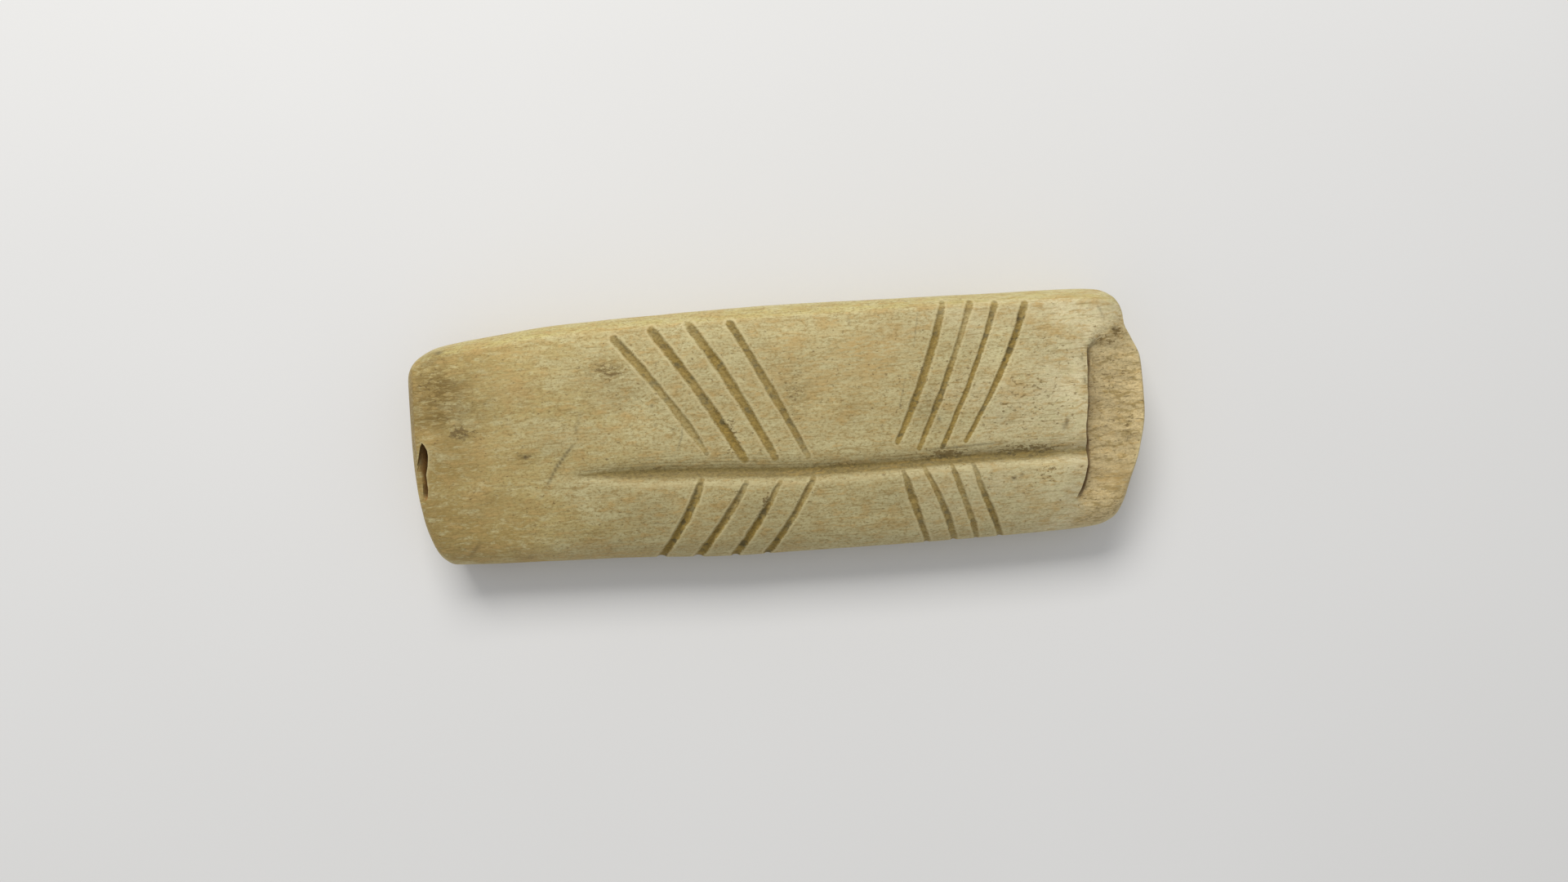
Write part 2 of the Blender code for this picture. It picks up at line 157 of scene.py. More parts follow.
# Step at the right end
TONGUE_LENGTH = 6.5
STEP_DEPTH = 1.25
STEP_SLANT = 0.72
STEP_TOP = 5.9
STEP_GROOVE = -4.25
STEP_BOTTOM = -9.25
STEP_HOOK = 1.37
HOOK_BEND = 2.2
STEP_EASE = 0.3
WALL_THICKNESS = 0.1
CREASE_SLOPE = 0.51
CREASE_RISE = ((-5, 1), (-2.5, 0.92), (-0.5, 0.7), (0.3, 0.5), (1.4, 0.15), (2.4, 0))
FLOOR_FALL = 0.4
WALL_SETBACK = 0.42
NOTCH_Y = -2.2
NOTCH_REACH = 1.1
NOTCH_DEPTH = 0.18
WALL_X = HALF_LENGTH - TONGUE_LENGTH - WALL_SETBACK

# Slot in the left end. Its brink is (y, x where the floor starts to fall behind the lip, x where it is down)
SLOT_MIDDLE = -1.645
SLOT_WIDTH = 5.7
SLOT_HEIGHT = 2.1
SLOT_LENGTH = 10.0
SLOT_COVER = 1.2
SLOT_TAPER = 0.7
SLOT_ROUND = 0.7
SLOT_FOOT = -4.85
SLOT_LIP = 0.85
SLOT_BRINK = (
    (-4.6, -36.1, -35.65), (-2.2, -36.1, -35.6), (-0.8, -36.05, -35), (1.2, -35.95, -34.9),
)
SLOT_SLICES = 40
SLOT_CROSS_SLICES = 12
BEYOND = 1.0

# Chip out of the wall over the slot's mouth: its plan line, and the same line's inner side as (y, x)
CHIP_LINE = (
    (-39, -2.5), (-37.2, -2.1), (-36.6, -1.5), (-36.32, -0.7), (-36.14, 0.1), (-35.98, 0.8),
    (-35.78, 1.2), (-35.55, 0.92), (-35.3, 0.36), (-35.25, -0.2), (-35.36, -1.2), (-35.56, -2),
    (-35.52, -2.8), (-35.48, -3.5), (-35.58, -4.3), (-35.9, -4.75), (-39, -5.2),
)
CHIP_EDGE = [(y, x) for x, y in reversed(CHIP_LINE[6:-1])]
CHIP_LEAN = 0.22
CHIP_FOOT = 7.0
CHIP_SLICES = 14

# Lower border of the band along the upper edge, painted paler partly as highlight, and how strong the dirt
# and painted shade at the wall's foot are along Y
BAND_BORDER = (
    (-37.4, 9), (-34.8, 9.45), (-31.5, 9.85), (-28.2, 10.25), (-24.9, 10.65), (-21.9, 10.9),
    (-16.7, 11.35), (-11.7, 11.3), (4.6, 11.2), (21, 11.1), (29.2, 10.9), (34, 10.2), (37.4, 9),
)
WALL_FILL = (
    (-9.3, 0), (-8.8, 0.6), (-8.2, 0.95), (-6, 1), (-4.8, 0.7), (-3.6, 1), (-2.7, 0.75),
    (-1.8, 0.9), (-1.2, 0.6), (0, 1), (1.2, 0.55), (2.4, 0.65), (3.6, 0.7), (4.5, 0.95),
    (5.1, 0.6), (5.8, 0.25), (6.3, 0),
)

# Hollows and waves of the hand work: (height, usual width, how far drawn out along the bar)
WAVES = ((0.035, 9, 2), (0.01, 2.4, 1.8))

# How finely the skin is drawn, what is too thin to be a face, and the angle in degrees that stays sharp
STATIONS = 472
FACE_ROWS = 176
SIDE_ROWS = 7
BACK_ROWS = 14
STROKE_ZONES = ((-16.8, 3.6), (10.8, 26.2))
GROOVE_SHARE = 0.65
GROOVE_REACH = 2.2
SAMPLES = 4001
SLIVER = 0.002
SHARP_ANGLE = 62

rng = np.random.default_rng(7)


def smooth_curve(points, at):
    """Values at places on the smooth curve through (place, value) points, which never overshoots them."""
    places, values = np.array(points, float).T
    steps = np.diff(places)
    slopes = np.diff(values) / steps
    before, after = slopes[:-1], slopes[1:]
    same_way = before * after > 0
    total = np.where(same_way, before + after, 1.0)
    middle = np.where(same_way, 2 * before * after / total, 0.0)
    tangents = np.concatenate(([slopes[0]], middle, [slopes[-1]]))
    index = np.clip(np.searchsorted(places, at) - 1, 0, len(steps) - 1)
    step = steps[index]
    t = np.clip((at - places[index]) / step, 0.0, 1.0)
    return (
        values[index] * (1 + 2 * t) * (1 - t) ** 2
        + values[index + 1] * (3 - 2 * t) * t**2
        + tangents[index] * step * t * (1 - t) ** 2
        - tangents[index + 1] * step * t**2 * (1 - t)
    )


def smooth_step(value, start, end):
    t = np.clip((value - start) / (end - start), 0.0, 1.0)
    return t * t * (3 - 2 * t)


def bell(value, middle, reach):
    """1 at the middle, and falling off softly on both sides of it."""
    return np.exp(-(((value - middle) / reach) ** 2))


def smooth_min(a, b, ease):
    """The lower of two heights, with the corner between them rounded off."""
    share = np.clip(0.5 + 0.5 * (b - a) / ease, 0.0, 1.0)
    return b * (1 - share) + a * share - ease * share * (1 - share)


def rolling(x, y, size, stretch=1.0, waves=7):
    """Gentle random hills between about -1 and 1, whose usual width is size, drawn out along X by stretch."""
    total = np.zeros(np.broadcast(x, y).shape)
    for _ in range(waves):
        heading = rng.uniform(0, math.pi)
        pitch = 2 * math.pi / size * rng.uniform(0.6, 1.5)
        phase = rng.uniform(0, 2 * math.pi)
        total += np.sin(pitch * (x / stretch * math.cos(heading) + y * math.sin(heading)) + phase)
    return total / math.sqrt(waves)


def edge(outline, x):
    """Reach of an outline at x, read over the arc from end to end, where the rounded ends become gentle."""
    arc_points = [(math.asin(place), value) for place, value in outline]
    return HALF_WIDTH * smooth_curve(arc_points, np.arcsin(np.clip(x / HALF_LENGTH, -1.0, 1.0)))


def share_across(x, y):
    """Place across the bar as a share of its width there, from the upper outline (0) to the lower (1)."""
    upper, lower = edge(UPPER_EDGE, x), edge(LOWER_EDGE, x)
    return np.clip((upper - y) / np.maximum(upper - lower, 1e-6), 0.0, 1.0)


def quarter_round(t, squareness=2.0):
    """Height of a quarter of a superellipse, from 0 at t = 0 to 1 at t = 1. Squareness 2 is an ellipse."""
    return np.maximum(0.0, 1 - (1 - np.clip(t, 0.0, 1.0)) ** squareness) ** (1 / squareness)


def from_end(x):
    return np.maximum(HALF_LENGTH - np.abs(x), 0.0)


def end_height(x, round_length, squareness=2.0):
    """Share of the full height at x. The ends are rounded over, down to a small flat."""
    return END_FLATNESS + (1 - END_FLATNESS) * quarter_round(from_end(x) / round_length, squareness)


def waist_height(x, across):
    """Height of the widest level, from the upper side (across 0) to the lower side (across 1)."""
    middle = UPPER_WAIST + (LOWER_WAIST - UPPER_WAIST) * across
    return THICKNESS * (END_WAIST + (middle - END_WAIST) * np.minimum(from_end(x) / END_BLEND, 1.0))


def top_height(x, across):
    """Height of the face and of its rounded sides, before any carving."""
    full = THICKNESS - FACE_CROWN * np.maximum(0.0, 1 - 2 * across) ** 2
    waist = waist_height(x, across)
    band_fall = 1 - quarter_round(across * WIDTH / BAND_WIDTH, BAND_SQUARENESS)
    flank_fall = 1 - quarter_round((1 - across) * WIDTH / FLANK_WIDTH, FLANK_SQUARENESS)
    height = full - (full - waist) * (band_fall + flank_fall)
    return waist + (height - waist) * end_height(x, END_ROUND, END_SQUARENESS)


def groove_y(x):
    return HALF_WIDTH * smooth_curve(GROOVE_LINE, x / HALF_LENGTH)


def wall_x(y):
    """Where the step's wall stands. It slants along the face, and is notched and hooks back lower down."""
    slant = STEP_SLANT * (y - STEP_GROOVE) / (STEP_TOP - STEP_GROOVE)
    slant = slant - NOTCH_DEPTH * bell(y, NOTCH_Y, NOTCH_REACH)
    hook = np.clip((STEP_GROOVE - y) / (STEP_GROOVE - STEP_BOTTOM), 0.0, 1.4)
    ragged = 0.02 * np.sin(2.1 * y) + 0.012 * np.sin(5.3 * y + 1.0)
    return WALL_X + np.where(y > STEP_GROOVE, slant, -STEP_HOOK * hook**HOOK_BEND) + ragged


def spread(count, places, weight):
    """Picks places so that the same weight lies between any two neighbours."""
    total = np.concatenate(([0.0], np.cumsum((weight[1:] + weight[:-1]) / 2 * np.diff(places))))
    return np.interp(np.linspace(0.0, total[-1], count), total, places)


def station_places():
    """Places of the rings along the bar: close together at the strokes, the step's wall and the ends."""
    places = np.linspace(-HALF_LENGTH, HALF_LENGTH, SAMPLES)
    weight = np.ones_like(places)
    for start, end in STROKE_ZONES:
        weight += smooth_step(places, start - 0.6, start) * (1 - smooth_step(places, end, end + 0.6))
    weight += 7.0 * bell(places - WALL_X, 0.2, 0.45)
    weight += 5.0 * np.exp(-from_end(places) / 0.7)
    return spread(STATIONS, places, weight)


def face_shares():
    """Shares of the width where the face has a row of points: even along its arc, closer at the groove."""
    shares = np.linspace(0.0, 1.0, SAMPLES)
    height = top_height(0.0, shares)
    weight = np.hypot(np.gradient(shares) * WIDTH, np.gradient(height)) / np.gradient(shares)
    weight = np.minimum(weight, 4 * WIDTH)
    weight *= 0.5 + 0.5 * smooth_step(shares * WIDTH, 0.0, 2 * BAND_WIDTH)
    near_groove = np.abs(shares - GROOVE_SHARE) * WIDTH
    weight *= 1 + 0.8 * (1 - smooth_step(near_groove, GROOVE_REACH, GROOVE_REACH + 0.8))
    return spread(FACE_ROWS, shares, weight)


def face_places(stations, shares):
    """Plan places of the face's points. Rows follow the groove, and rings near the step follow its wall."""
    x = np.repeat(stations[:, None], len(shares), axis=1)
    rows = shares[None, :]
    hat = np.cos(math.pi / 2 * np.clip(np.abs(rows - GROOVE_SHARE) / 0.25, 0.0, 1.0)) ** 2
    for _ in range(3):
        upper, lower = edge(UPPER_EDGE, x), edge(LOWER_EDGE, x)
        groove_share = (upper - groove_y(x)) / (upper - lower)
        shift = np.clip(groove_share - GROOVE_SHARE, -0.08, 0.08) * smooth_step(from_end(x), 0.5, 6.0)
        across = rows + shift * hat
        y = upper - (upper - lower) * across
        near = np.cos(math.pi / 2 * np.clip((stations[:, None] - WALL_X) / 4.5, -1.0, 1.0)) ** 2
        inside = smooth_step(rows, 0.0, 0.1) * (1 - smooth_step(rows, 0.88, 1.0))
        x = stations[:, None] + (wall_x(y) - WALL_X) * near * inside
    upper, lower = edge(UPPER_EDGE, x), edge(LOWER_EDGE, x)
    return x, upper - (upper - lower) * across, across


def under_side(stations, across, edge_y, inward):
    """Points down one side, from the widest level to the flat back."""
    angle = math.pi / 2 * np.arange(1, SIDE_ROWS + 1) / SIDE_ROWS
    reach = 1 - np.cos(angle) ** (2 / UNDER_SQUARENESS)
    drop = np.sin(angle)[None, :] ** (2 / UNDER_SQUARENESS) * end_height(stations, END_UNDER_ROUND)[:, None]
    y = edge_y[:, None] + (UNDER_ROUND * inward)[:, None] * reach[None, :]
    return y, waist_height(stations, across)[:, None] * (1 - drop)


def bare_rings():
    """Every ring of the bar before it is carved: face, lower side, back and upper side."""
    stations = station_places()
    x, y, across = face_places(stations, face_shares())
    z = top_height(x, across)
    upper, lower = edge(UPPER_EDGE, stations), edge(LOWER_EDGE, stations)
    slimness = (upper - lower) / WIDTH
    lower_y, lower_z = under_side(stations, 1.0, lower, slimness)
    upper_y, upper_z = under_side(stations, 0.0, upper, -slimness)
    share = np.arange(1, BACK_ROWS)[None, :] / BACK_ROWS
    back_y = lower_y[:, -1:] * (1 - share) + upper_y[:, -1:] * share
    back_z = lower_z[:, -1:] * (1 - share) + upper_z[:, -1:] * share
    plain_x = np.repeat(stations[:, None], 2 * SIDE_ROWS + BACK_ROWS - 1, axis=1)
    return np.stack(
        (
            np.hstack((x, plain_x)),
            np.hstack((y, lower_y, back_y, upper_y[:, ::-1])),
            np.hstack((z, lower_z, back_z, upper_z[:, ::-1])),
        ),
        axis=2,
    )


def normals_of(rings):
    """Outward direction at every point of the rings."""
    along = np.gradient(rings, axis=0)
    wrapped = np.concatenate((rings[:, -1:], rings, rings[:, :1]), axis=1)
    around = (wrapped[:, 2:] - wrapped[:, :-2]) / 2
    normal = np.cross(around, along)
    return normal / np.maximum(np.linalg.norm(normal, axis=2, keepdims=True), 1e-12)


def stroke_lines():
    """Every stroke's plan line, and its half width, depth and dirt along it, as unsteady as the hand."""
    t = np.linspace(0.0, 1.0, STROKE_POINTS)
    course = np.linspace(0.0, 1.0, 5)
    for first_start, start_pitch, first_end, end_pitch, strokes in STROKE_SETS:
        for n, (start_slip, start_y, end_slip, end_y, bow, widths, dirt) in enumerate(strokes):
            over_edge = start_y < 0
            start_x = first_start + start_pitch * n + start_slip
            end_x = first_end + end_pitch * n + end_slip
            x = HALF_LENGTH * (start_x + (end_x - start_x) * t) + bow * 4 * t * (1 - t)
            y = HALF_WIDTH * (start_y + (end_y - start_y) * t)
            waver = rolling(t, n, 0.22) * LINE_WAVER
            width = np.interp(t, course, widths) * (1 + WIDTH_WAVER * rolling(t, n, 0.14))
            rise = 0.45 + 0.55 * smooth_step(t, 0.0, 0.2) if over_edge else smooth_step(t, -0.03, STROKE_FADE)
            fade = rise * (1 - smooth_step(t, 1 - STROKE_FADE, 1.03))
            depth = STROKE_DEPTH * width / USUAL_WIDTH * fade * (1 + DEPTH_WAVER * rolling(t, n, 0.12))
            depth *= LOWER_STROKE_GAIN if over_edge else 1.0
            yield x + waver, y, HALF_STROKE * width, depth, np.interp(t, course, dirt)


STROKE_LINES = list(stroke_lines())


def along_line(x, y, line_x, line_y):
    """Distance from each point to a plan line, and the place of the nearest point as a share of the line."""
    best = np.full(x.shape, np.inf)
    place = np.zeros(x.shape)
    count = len(line_x) - 1
    for k in range(count):
        dx, dy = line_x[k + 1] - line_x[k], line_y[k + 1] - line_y[k]
        t = np.clip(((x - line_x[k]) * dx + (y - line_y[k]) * dy) / (dx * dx + dy * dy), 0.0, 1.0)
        distance = np.hypot(x - line_x[k] - dx * t, y - line_y[k] - dy * t)
        closer = distance < best
        best = np.where(closer, distance, best)
        place = np.where(closer, (k + t) / count, place)
    return best, place


def stroke_relief(x, y, lines):
    """Depth of the strokes at plan places, how far a place is in one, its dirt, and their rims, paler as wear
    and highlight.
    """
    depth, fill, dirt, rim = (np.zeros(x.shape) for _ in range(4))
    shares = np.linspace(0.0, 1.0, STROKE_POINTS)
    for line_x, line_y, half_width, line_depth, line_dirt in lines:
        margin = 2.0 * half_width.max()
        near = (
            (x > line_x.min() - margin) & (x < line_x.max() + margin)
            & (y > line_y.min() - margin) & (y < line_y.max() + margin)
        )
        distance, place = along_line(x[near], y[near], line_x, line_y)
        reach = distance / np.interp(place, shares, half_width)
        section = np.clip(1 - reach**2, 0.0, 1.0)
        depth[near] = np.maximum(depth[near], np.interp(place, shares, line_depth) * section)
        inside = np.clip(1.5 - reach, 0.0, 1.0)
        closer = inside > fill[near]
        dirt[near] = np.where(closer, np.interp(place, shares, line_dirt), dirt[near])
        fill[near] = np.maximum(fill[near], inside)
        rim[near] = np.maximum(rim[near], bell(reach, 1.18, 0.24))
    return depth, fill, dirt, rim * (1 - smooth_step(fill, 0.45, 0.7))


def groove_relief(x, y):
    """Depth of the groove at plan places, how dirty it is there, and where its lower lip is."""
    start = GROOVE_LINE[0][0] * HALF_LENGTH
    lead = np.sin(math.pi / 2 * np.clip((x - start) / GROOVE_LEAD_IN, 0.0, 1.0))
    offset = (y - groove_y(x)) / smooth_curve(GROOVE_WIDTHS, x)
    section = smooth_curve(GROOVE_SECTION, offset)
    streaks = 0.025 * np.sin(21 * offset + 0.35 * np.sin(0.5 * x)) * section * (1 - section) * 4
    lead = lead * (1 - smooth_step(x, WALL_X + 1.0, WALL_X + 2.5))
    depth = (GROOVE_DEPTH * section + streaks) * lead
    dirt = smooth_curve(GROOVE_DIRT, offset) * smooth_curve(GROOVE_FILL, x)
    lip = bell(offset, -1.4, 0.28) * lead
    return depth, dirt, lip


def step_floor(x, y, height):
    """Height once the tongue is stepped down, and how much of the tongue's floor a place is."""
    crease_y = STEP_TOP + CREASE_SLOPE * (x - WALL_X - STEP_SLANT)
    thickness = WALL_THICKNESS + 1.6 * smooth_step(y, 5.2, 7.0) + 3.0 * smooth_step(-y, 8.5, 10.5)
    beyond_wall = np.clip((x - wall_x(y)) / thickness, 0.0, 1.0)
    below_crease = smooth_curve(CREASE_RISE, np.clip(y - crease_y, -5.0, 2.4))
    inside = smooth_step(beyond_wall, 0.0, 1.0) * below_crease
    floor = THICKNESS - STEP_DEPTH - FLOOR_FALL * (x - WALL_X) / TONGUE_LENGTH
    rough = 0.05 * np.sin(1.9 * y + 0.8 * np.sin(1.3 * x)) + 0.03 * np.sin(4.3 * y + 1.1 * x)
    ease = STEP_EASE + 0.6 * smooth_step(-y, 6.5, 9.5)
    lowered = smooth_min(height, floor + rough, ease)
    stepped = height + (np.minimum(lowered, height) - height) * inside
    return stepped, inside


def carved_rings():
    """The rings with the groove, the strokes, the step and the unevenness of hand work pressed into them."""
    rings = bare_rings()
    x, y, z = rings[..., 0], rings[..., 1], rings[..., 2]
    normal = normals_of(rings)
    below_waist = np.clip(waist_height(x, share_across(x, y)) - z, 0.0, None)
    on_face = np.zeros(x.shape)
    on_face[:, :FACE_ROWS] = 1.0
    reach = np.maximum(on_face, 1 - np.clip(below_waist / 1.5, 0.0, 1.0))
    stroke_depth = stroke_relief(x, y, STROKE_LINES)[0]
    groove_depth = groove_relief(x, y)[0]
    uneven = sum(height * (1 + rolling(x, y, size, stretch)) for height, size, stretch in WAVES)
    uneven *= smooth_step(from_end(x), 0.0, 2.0)
    uneven[:, FACE_ROWS + SIDE_ROWS - 1 : FACE_ROWS + SIDE_ROWS + BACK_ROWS - 1] = 0.0
    depth = np.maximum(stroke_depth, groove_depth) * reach + np.clip(uneven, 0.0, None)
    depth += marks_at(x, y, DENTS) * on_face
    depth = depth * smooth_step(from_end(x), 0.0, 0.8)
    rings = rings - normal * depth[..., None]
    face = rings[:, :FACE_ROWS]
    face[..., 2] = step_floor(face[..., 0], face[..., 1], face[..., 2])[0]
    rings[..., 2] = np.clip(rings[..., 2], 0.0, THICKNESS)
    return rings


def finished(name, bm):
    """Turns a worked mesh into an object of the scene."""
    mesh = bpy.data.meshes.new(name)
    bm.to_mesh(mesh)
    bm.free()
    obj = bpy.data.objects.new(name, mesh)
    bpy.context.scene.collection.objects.link(obj)
    return obj


def bone_skin():
    """A closed drum with a ring for every station, whose points are moved onto the carved rings."""
    rings = carved_rings()
    count = rings.shape[1]
    bm = bmesh.new()
    bmesh.ops.create_cone(
        bm, cap_ends=True, cap_tris=False, segments=count, radius1=1.0, radius2=1.0, depth=2.0
    )
    long_edges = [e for e in bm.edges if abs(e.verts[0].co.z - e.verts[1].co.z) > 1.0]
    bmesh.ops.subdivide_edges(bm, edges=long_edges, cuts=STATIONS - 2, use_grid_fill=True)
    skin = finished("bone_skin", bm)
    drum = np.empty(len(skin.data.vertices) * 3)
    skin.data.vertices.foreach_get("co", drum)
    drum = drum.reshape(-1, 3)
    station = np.rint((drum[:, 2] + 1) / 2 * (STATIONS - 1)).astype(int)
    place = np.rint(np.arctan2(drum[:, 1], drum[:, 0]) / (2 * math.pi) * count).astype(int) % count
    skin.data.vertices.foreach_set("co", rings[station, place].ravel())
    rework(skin)
    return skin


def rework(obj, size=1.0):
    """Turns the faces of an object outwards and brings it to size."""
    bm = bmesh.new()
    bm.from_mesh(obj.data)
    bmesh.ops.recalc_face_normals(bm, faces=bm.faces)
    bmesh.ops.scale(bm, verts=bm.verts, vec=(size, size, size))
    bm.to_mesh(obj.data)
    bm.free()


def slot_brink(y):
    """Where the floor of the slot's mouth starts to fall away behind its lip, and where it has fallen."""
    places, start, end = np.array(SLOT_BRINK).T
    return np.interp(y, places, start), np.interp(y, places, end)


def slice_through(bm, place, direction):
    """Adds a line of edges where a plane passes, so that the block can bend there."""
    bmesh.ops.bisect_plane(
        bm, geom=bm.verts[:] + bm.edges[:] + bm.faces[:], plane_co=place, plane_no=direction
    )


def slot_pocket():
    """What the slot takes away: a rounded block that narrows towards its bottom."""
    roof = THICKNESS - SLOT_COVER
    low = Vector((-HALF_LENGTH - BEYOND, SLOT_MIDDLE - SLOT_WIDTH / 2, roof - SLOT_HEIGHT))
    high = Vector((-HALF_LENGTH + SLOT_LENGTH, SLOT_MIDDLE + SLOT_WIDTH / 2, roof))
    bm = bmesh.new()
    bmesh.ops.create_cube(bm, size=1.0)
    bmesh.ops.scale(bm, verts=bm.verts, vec=high - low)
    bmesh.ops.translate(bm, verts=bm.verts, vec=(low + high) / 2)
    bmesh.ops.bevel(
        bm, geom=bm.edges[:], offset=SLOT_ROUND, offset_type="OFFSET", segments=6, profile=0.5,
        affect="EDGES", material=-1,
    )
    for step in range(1, SLOT_SLICES):
        slice_through(bm, (low.x + (high.x - low.x) * step / SLOT_SLICES, 0, 0), (1, 0, 0))
    for step in range(1, SLOT_CROSS_SLICES):
        slice_through(bm, (0, low.y + (high.y - low.y) * step / SLOT_CROSS_SLICES, 0), (0, 1, 0))
    heart = (low + high) / 2
    for vert in bm.verts:
        lip = SLOT_LIP * (1 - float(smooth_step(vert.co.x, *slot_brink(vert.co.y))))
        vert.co.z += (roof - vert.co.z) * lip
        inside = (vert.co.x - low.x) / (high.x - low.x)
        narrow = 1 - (1 - SLOT_TAPER) * inside
        waver = 1 + 0.02 * math.sin(2.3 * vert.co.x + vert.co.y) + 0.015 * math.sin(4.1 * vert.co.x)
        vert.co.y = heart.y + (vert.co.y - heart.y) * narrow * waver
        vert.co.z = heart.z + (vert.co.z - heart.z) * narrow * waver
    return cutter("slot_pocket", bm)


def chip_block():
    """What is broken off over the slot's mouth: the chip's plan line raised, leaning back as it rises."""
    bm = bmesh.new()
    foot = bm.faces.new([bm.verts.new((x, y, CHIP_FOOT)) for x, y in CHIP_LINE])
    bmesh.ops.subdivide_edges(bm, edges=foot.edges[:], cuts=3, smooth=0.6)
    raised = bmesh.ops.extrude_face_region(bm, geom=bm.faces[:])
    tops = [item for item in raised["geom"] if isinstance(item, bmesh.types.BMVert)]
    rise = THICKNESS + BEYOND - CHIP_FOOT
    bmesh.ops.translate(bm, verts=tops, vec=(CHIP_LEAN * rise, 0, rise))
    for step in range(CHIP_SLICES):
        slice_through(bm, (0, -5.0 + 0.45 * step, 0), (0, 1, 0))
        slice_through(bm, (-36.9 + 0.15 * step, 0, 0), (1, 0, 0))
        slice_through(bm, (0, 0, CHIP_FOOT + 0.18 * (step + 1)), (0, 0, 1))
    return cutter("chip_block", bm)


def cutter(name, bm):
    """A block to cut with, its faces turned outwards."""
    bmesh.ops.recalc_face_normals(bm, faces=bm.faces)
    return finished(name, bm)


def take_away(piece, tool):
    """Cuts the tool's shape out of the piece for good."""
    modifier = piece.modifiers.new("cut", "BOOLEAN")
    modifier.operation = "DIFFERENCE"
    modifier.solver = "EXACT"
    modifier.object = tool
    bpy.context.view_layer.update()
    mesh = bpy.data.meshes.new_from_object(piece.evaluated_get(bpy.context.evaluated_depsgraph_get()))
    piece.modifiers.clear()
    piece.data = mesh
    bpy.data.objects.remove(tool, do_unlink=True)


def clear_slivers(piece):
    """Splits the cut piece into triangles, with no slivers and no two of them back to back."""
    bm = bmesh.new()
    bm.from_mesh(piece.data)
    bmesh.ops.triangulate(bm, faces=bm.faces[:])
    bmesh.ops.dissolve_degenerate(bm, dist=SLIVER, edges=bm.edges[:])
    bmesh.ops.triangulate(bm, faces=bm.faces[:])
    crowded = [e for e in bm.edges if len(e.link_faces) > 2]
    flaps = [
        face for e in crowded for face in e.link_faces
        if sum(set(other.verts) == set(face.verts) for other in e.link_faces) > 1
    ]
    bmesh.ops.delete(bm, geom=list(dict.fromkeys(flaps)), context="FACES")
    bm.to_mesh(piece.data)
    bm.free()


# Soft oval marks on the face, each as (x, y, reach along, reach across, strength)
DENTS = ((-36.85, -0.9, 0.55, 1.6, 0.35),)
STAINS = (
    (-33.6, 6.4, 3.2, 2.9, 1), (-33.6, 3.6, 2.6, 1.3, 0.9), (-31.2, 1.9, 1.5, 1, 0.6),
    (-30.2, 4.6, 2.4, 1.9, 0.45), (-25.4, -1.1, 1.3, 0.8, 0.6), (-29.5, -5, 1.5, 0.8, 0.4),
    (-16.5, 7.1, 1.9, 1.4, 0.75), (-15.2, 4.9, 2.2, 1.6, 0.35), (2, 3.5, 1.9, 2.6, 0.5),
    (6.8, 1.8, 2.6, 1.4, 0.4), (14.6, 1, 1.4, 2, 0.4), (-26.9, -11.1, 1.1, 0.35, 0.7),
    (34.5, 7.2, 0.7, 0.6, 1), (33.6, 6.5, 0.9, 0.45, 1), (32.4, 6.1, 0.9, 0.4, 0.6),
    (31.2, 5.9, 0.4, 0.4, 0.7), (30.8, 3.4, 0.25, 2.2, 0.4),
)
OCHRES = (
    (1.2, 8.6, 1.3, 1.7, 0.7), (9.4, 7.5, 4.2, 1.6, 1), (10.7, 5.3, 2.6, 1.3, 0.7),
    (-25.5, 9.3, 2.6, 0.7, 0.6), (-21.6, 0.9, 1.6, 0.5, 0.6), (-29, 0.2, 4, 2.5, 0.35),
    (-27, 6.5, 4, 2, 0.35), (25.7, 9, 0.9, 0.9, 0.6), (33.8, -7.6, 1.8, 1.6, 0.9),
    (29.4, 11.1, 1.6, 0.4, 0.7), (-34.5, 1.3, 2.2, 1, 0.5), (6, 5, 7, 4, 0.45),
    (-20, -11.6, 10, 0.6, 0.8), (-30.3, -6, 2.6, 1.4, 0.4),
)
# Pale and dim marks: mostly the bone's patchy tone, but the pale mark at x 33, y 7.8 is painted light that
# lifts the shade on the crease's slope by the step
PALES = (
    (-28.5, -9.2, 5.5, 2, 1), (-34.9, 1.75, 1, 0.6, 0.6), (-14, 1.8, 2.6, 1.4, 0.4),
    (23, 5, 2.2, 2, 0.4), (30.6, -9.8, 1.7, 1.1, 0.6), (29, 8.4, 2.4, 1.5, 0.4),
    (22.2, 8, 1.4, 1.6, 0.4), (5, 1.9, 4.5, 1.1, 0.35), (29, -11.1, 5, 0.9, 0.5),
    (14, -11.1, 9, 0.8, 0.3), (35, -1.2, 1, 1.2, 0.35), (33, 7.8, 2, 1, 0.7),
    (32, -9.2, 1.6, 0.9, 0.8), (36.6, 1, 1.5, 5, 0.6), (26.5, -6, 2.2, 1.6, 0.5),
    (26, -9.5, 2, 1, 0.45), (7.5, -9.7, 5.5, 0.8, 0.45), (-24, 7.6, 4, 1.2, 0.35),
    (19.5, -10.2, 4, 1, 0.3), (29.6, 1.5, 1.4, 2.5, 0.4), (-14, 8.2, 9, 1.3, 0.45),
    (3, 8.8, 5, 1.5, 0.35), (-18, 10, 3, 0.8, 0.3),
)
DIMS = (
    (-30.5, 3.8, 2.8, 2.2, 0.45), (-22.6, -0.6, 2.6, 1.3, 0.6), (-13.5, -7.2, 3.4, 1.9, 0.6),
    (-3.5, -8, 3.6, 1.4, 0.55), (-34.5, 9.7, 1.6, 1, 1), (34.2, 10, 1.4, 1, 0.7),
    (34.5, -7.6, 1.2, 1, 0.6), (-18, -11.7, 16, 0.9, 0.6), (18, -8, 4, 1, 0.3),
    (22, -0.6, 1.6, 1, 0.55), (29, -7.9, 1.2, 0.9, 0.45), (31.8, 0.6, 0.8, 1.7, 1),
    (-27, -11.1, 4, 0.7, 0.6), (-33, 1.5, 6, 6, 0.35), (-34, -0.5, 1.8, 1.3, 0.5),
    (-30.3, -6, 2.2, 1.3, 0.4), (14.6, 0.6, 2.4, 2, 0.45), (10.5, -7.6, 3, 1.2, 0.4),
    (16.6, -0.8, 2.2, 0.9, 0.4),
)
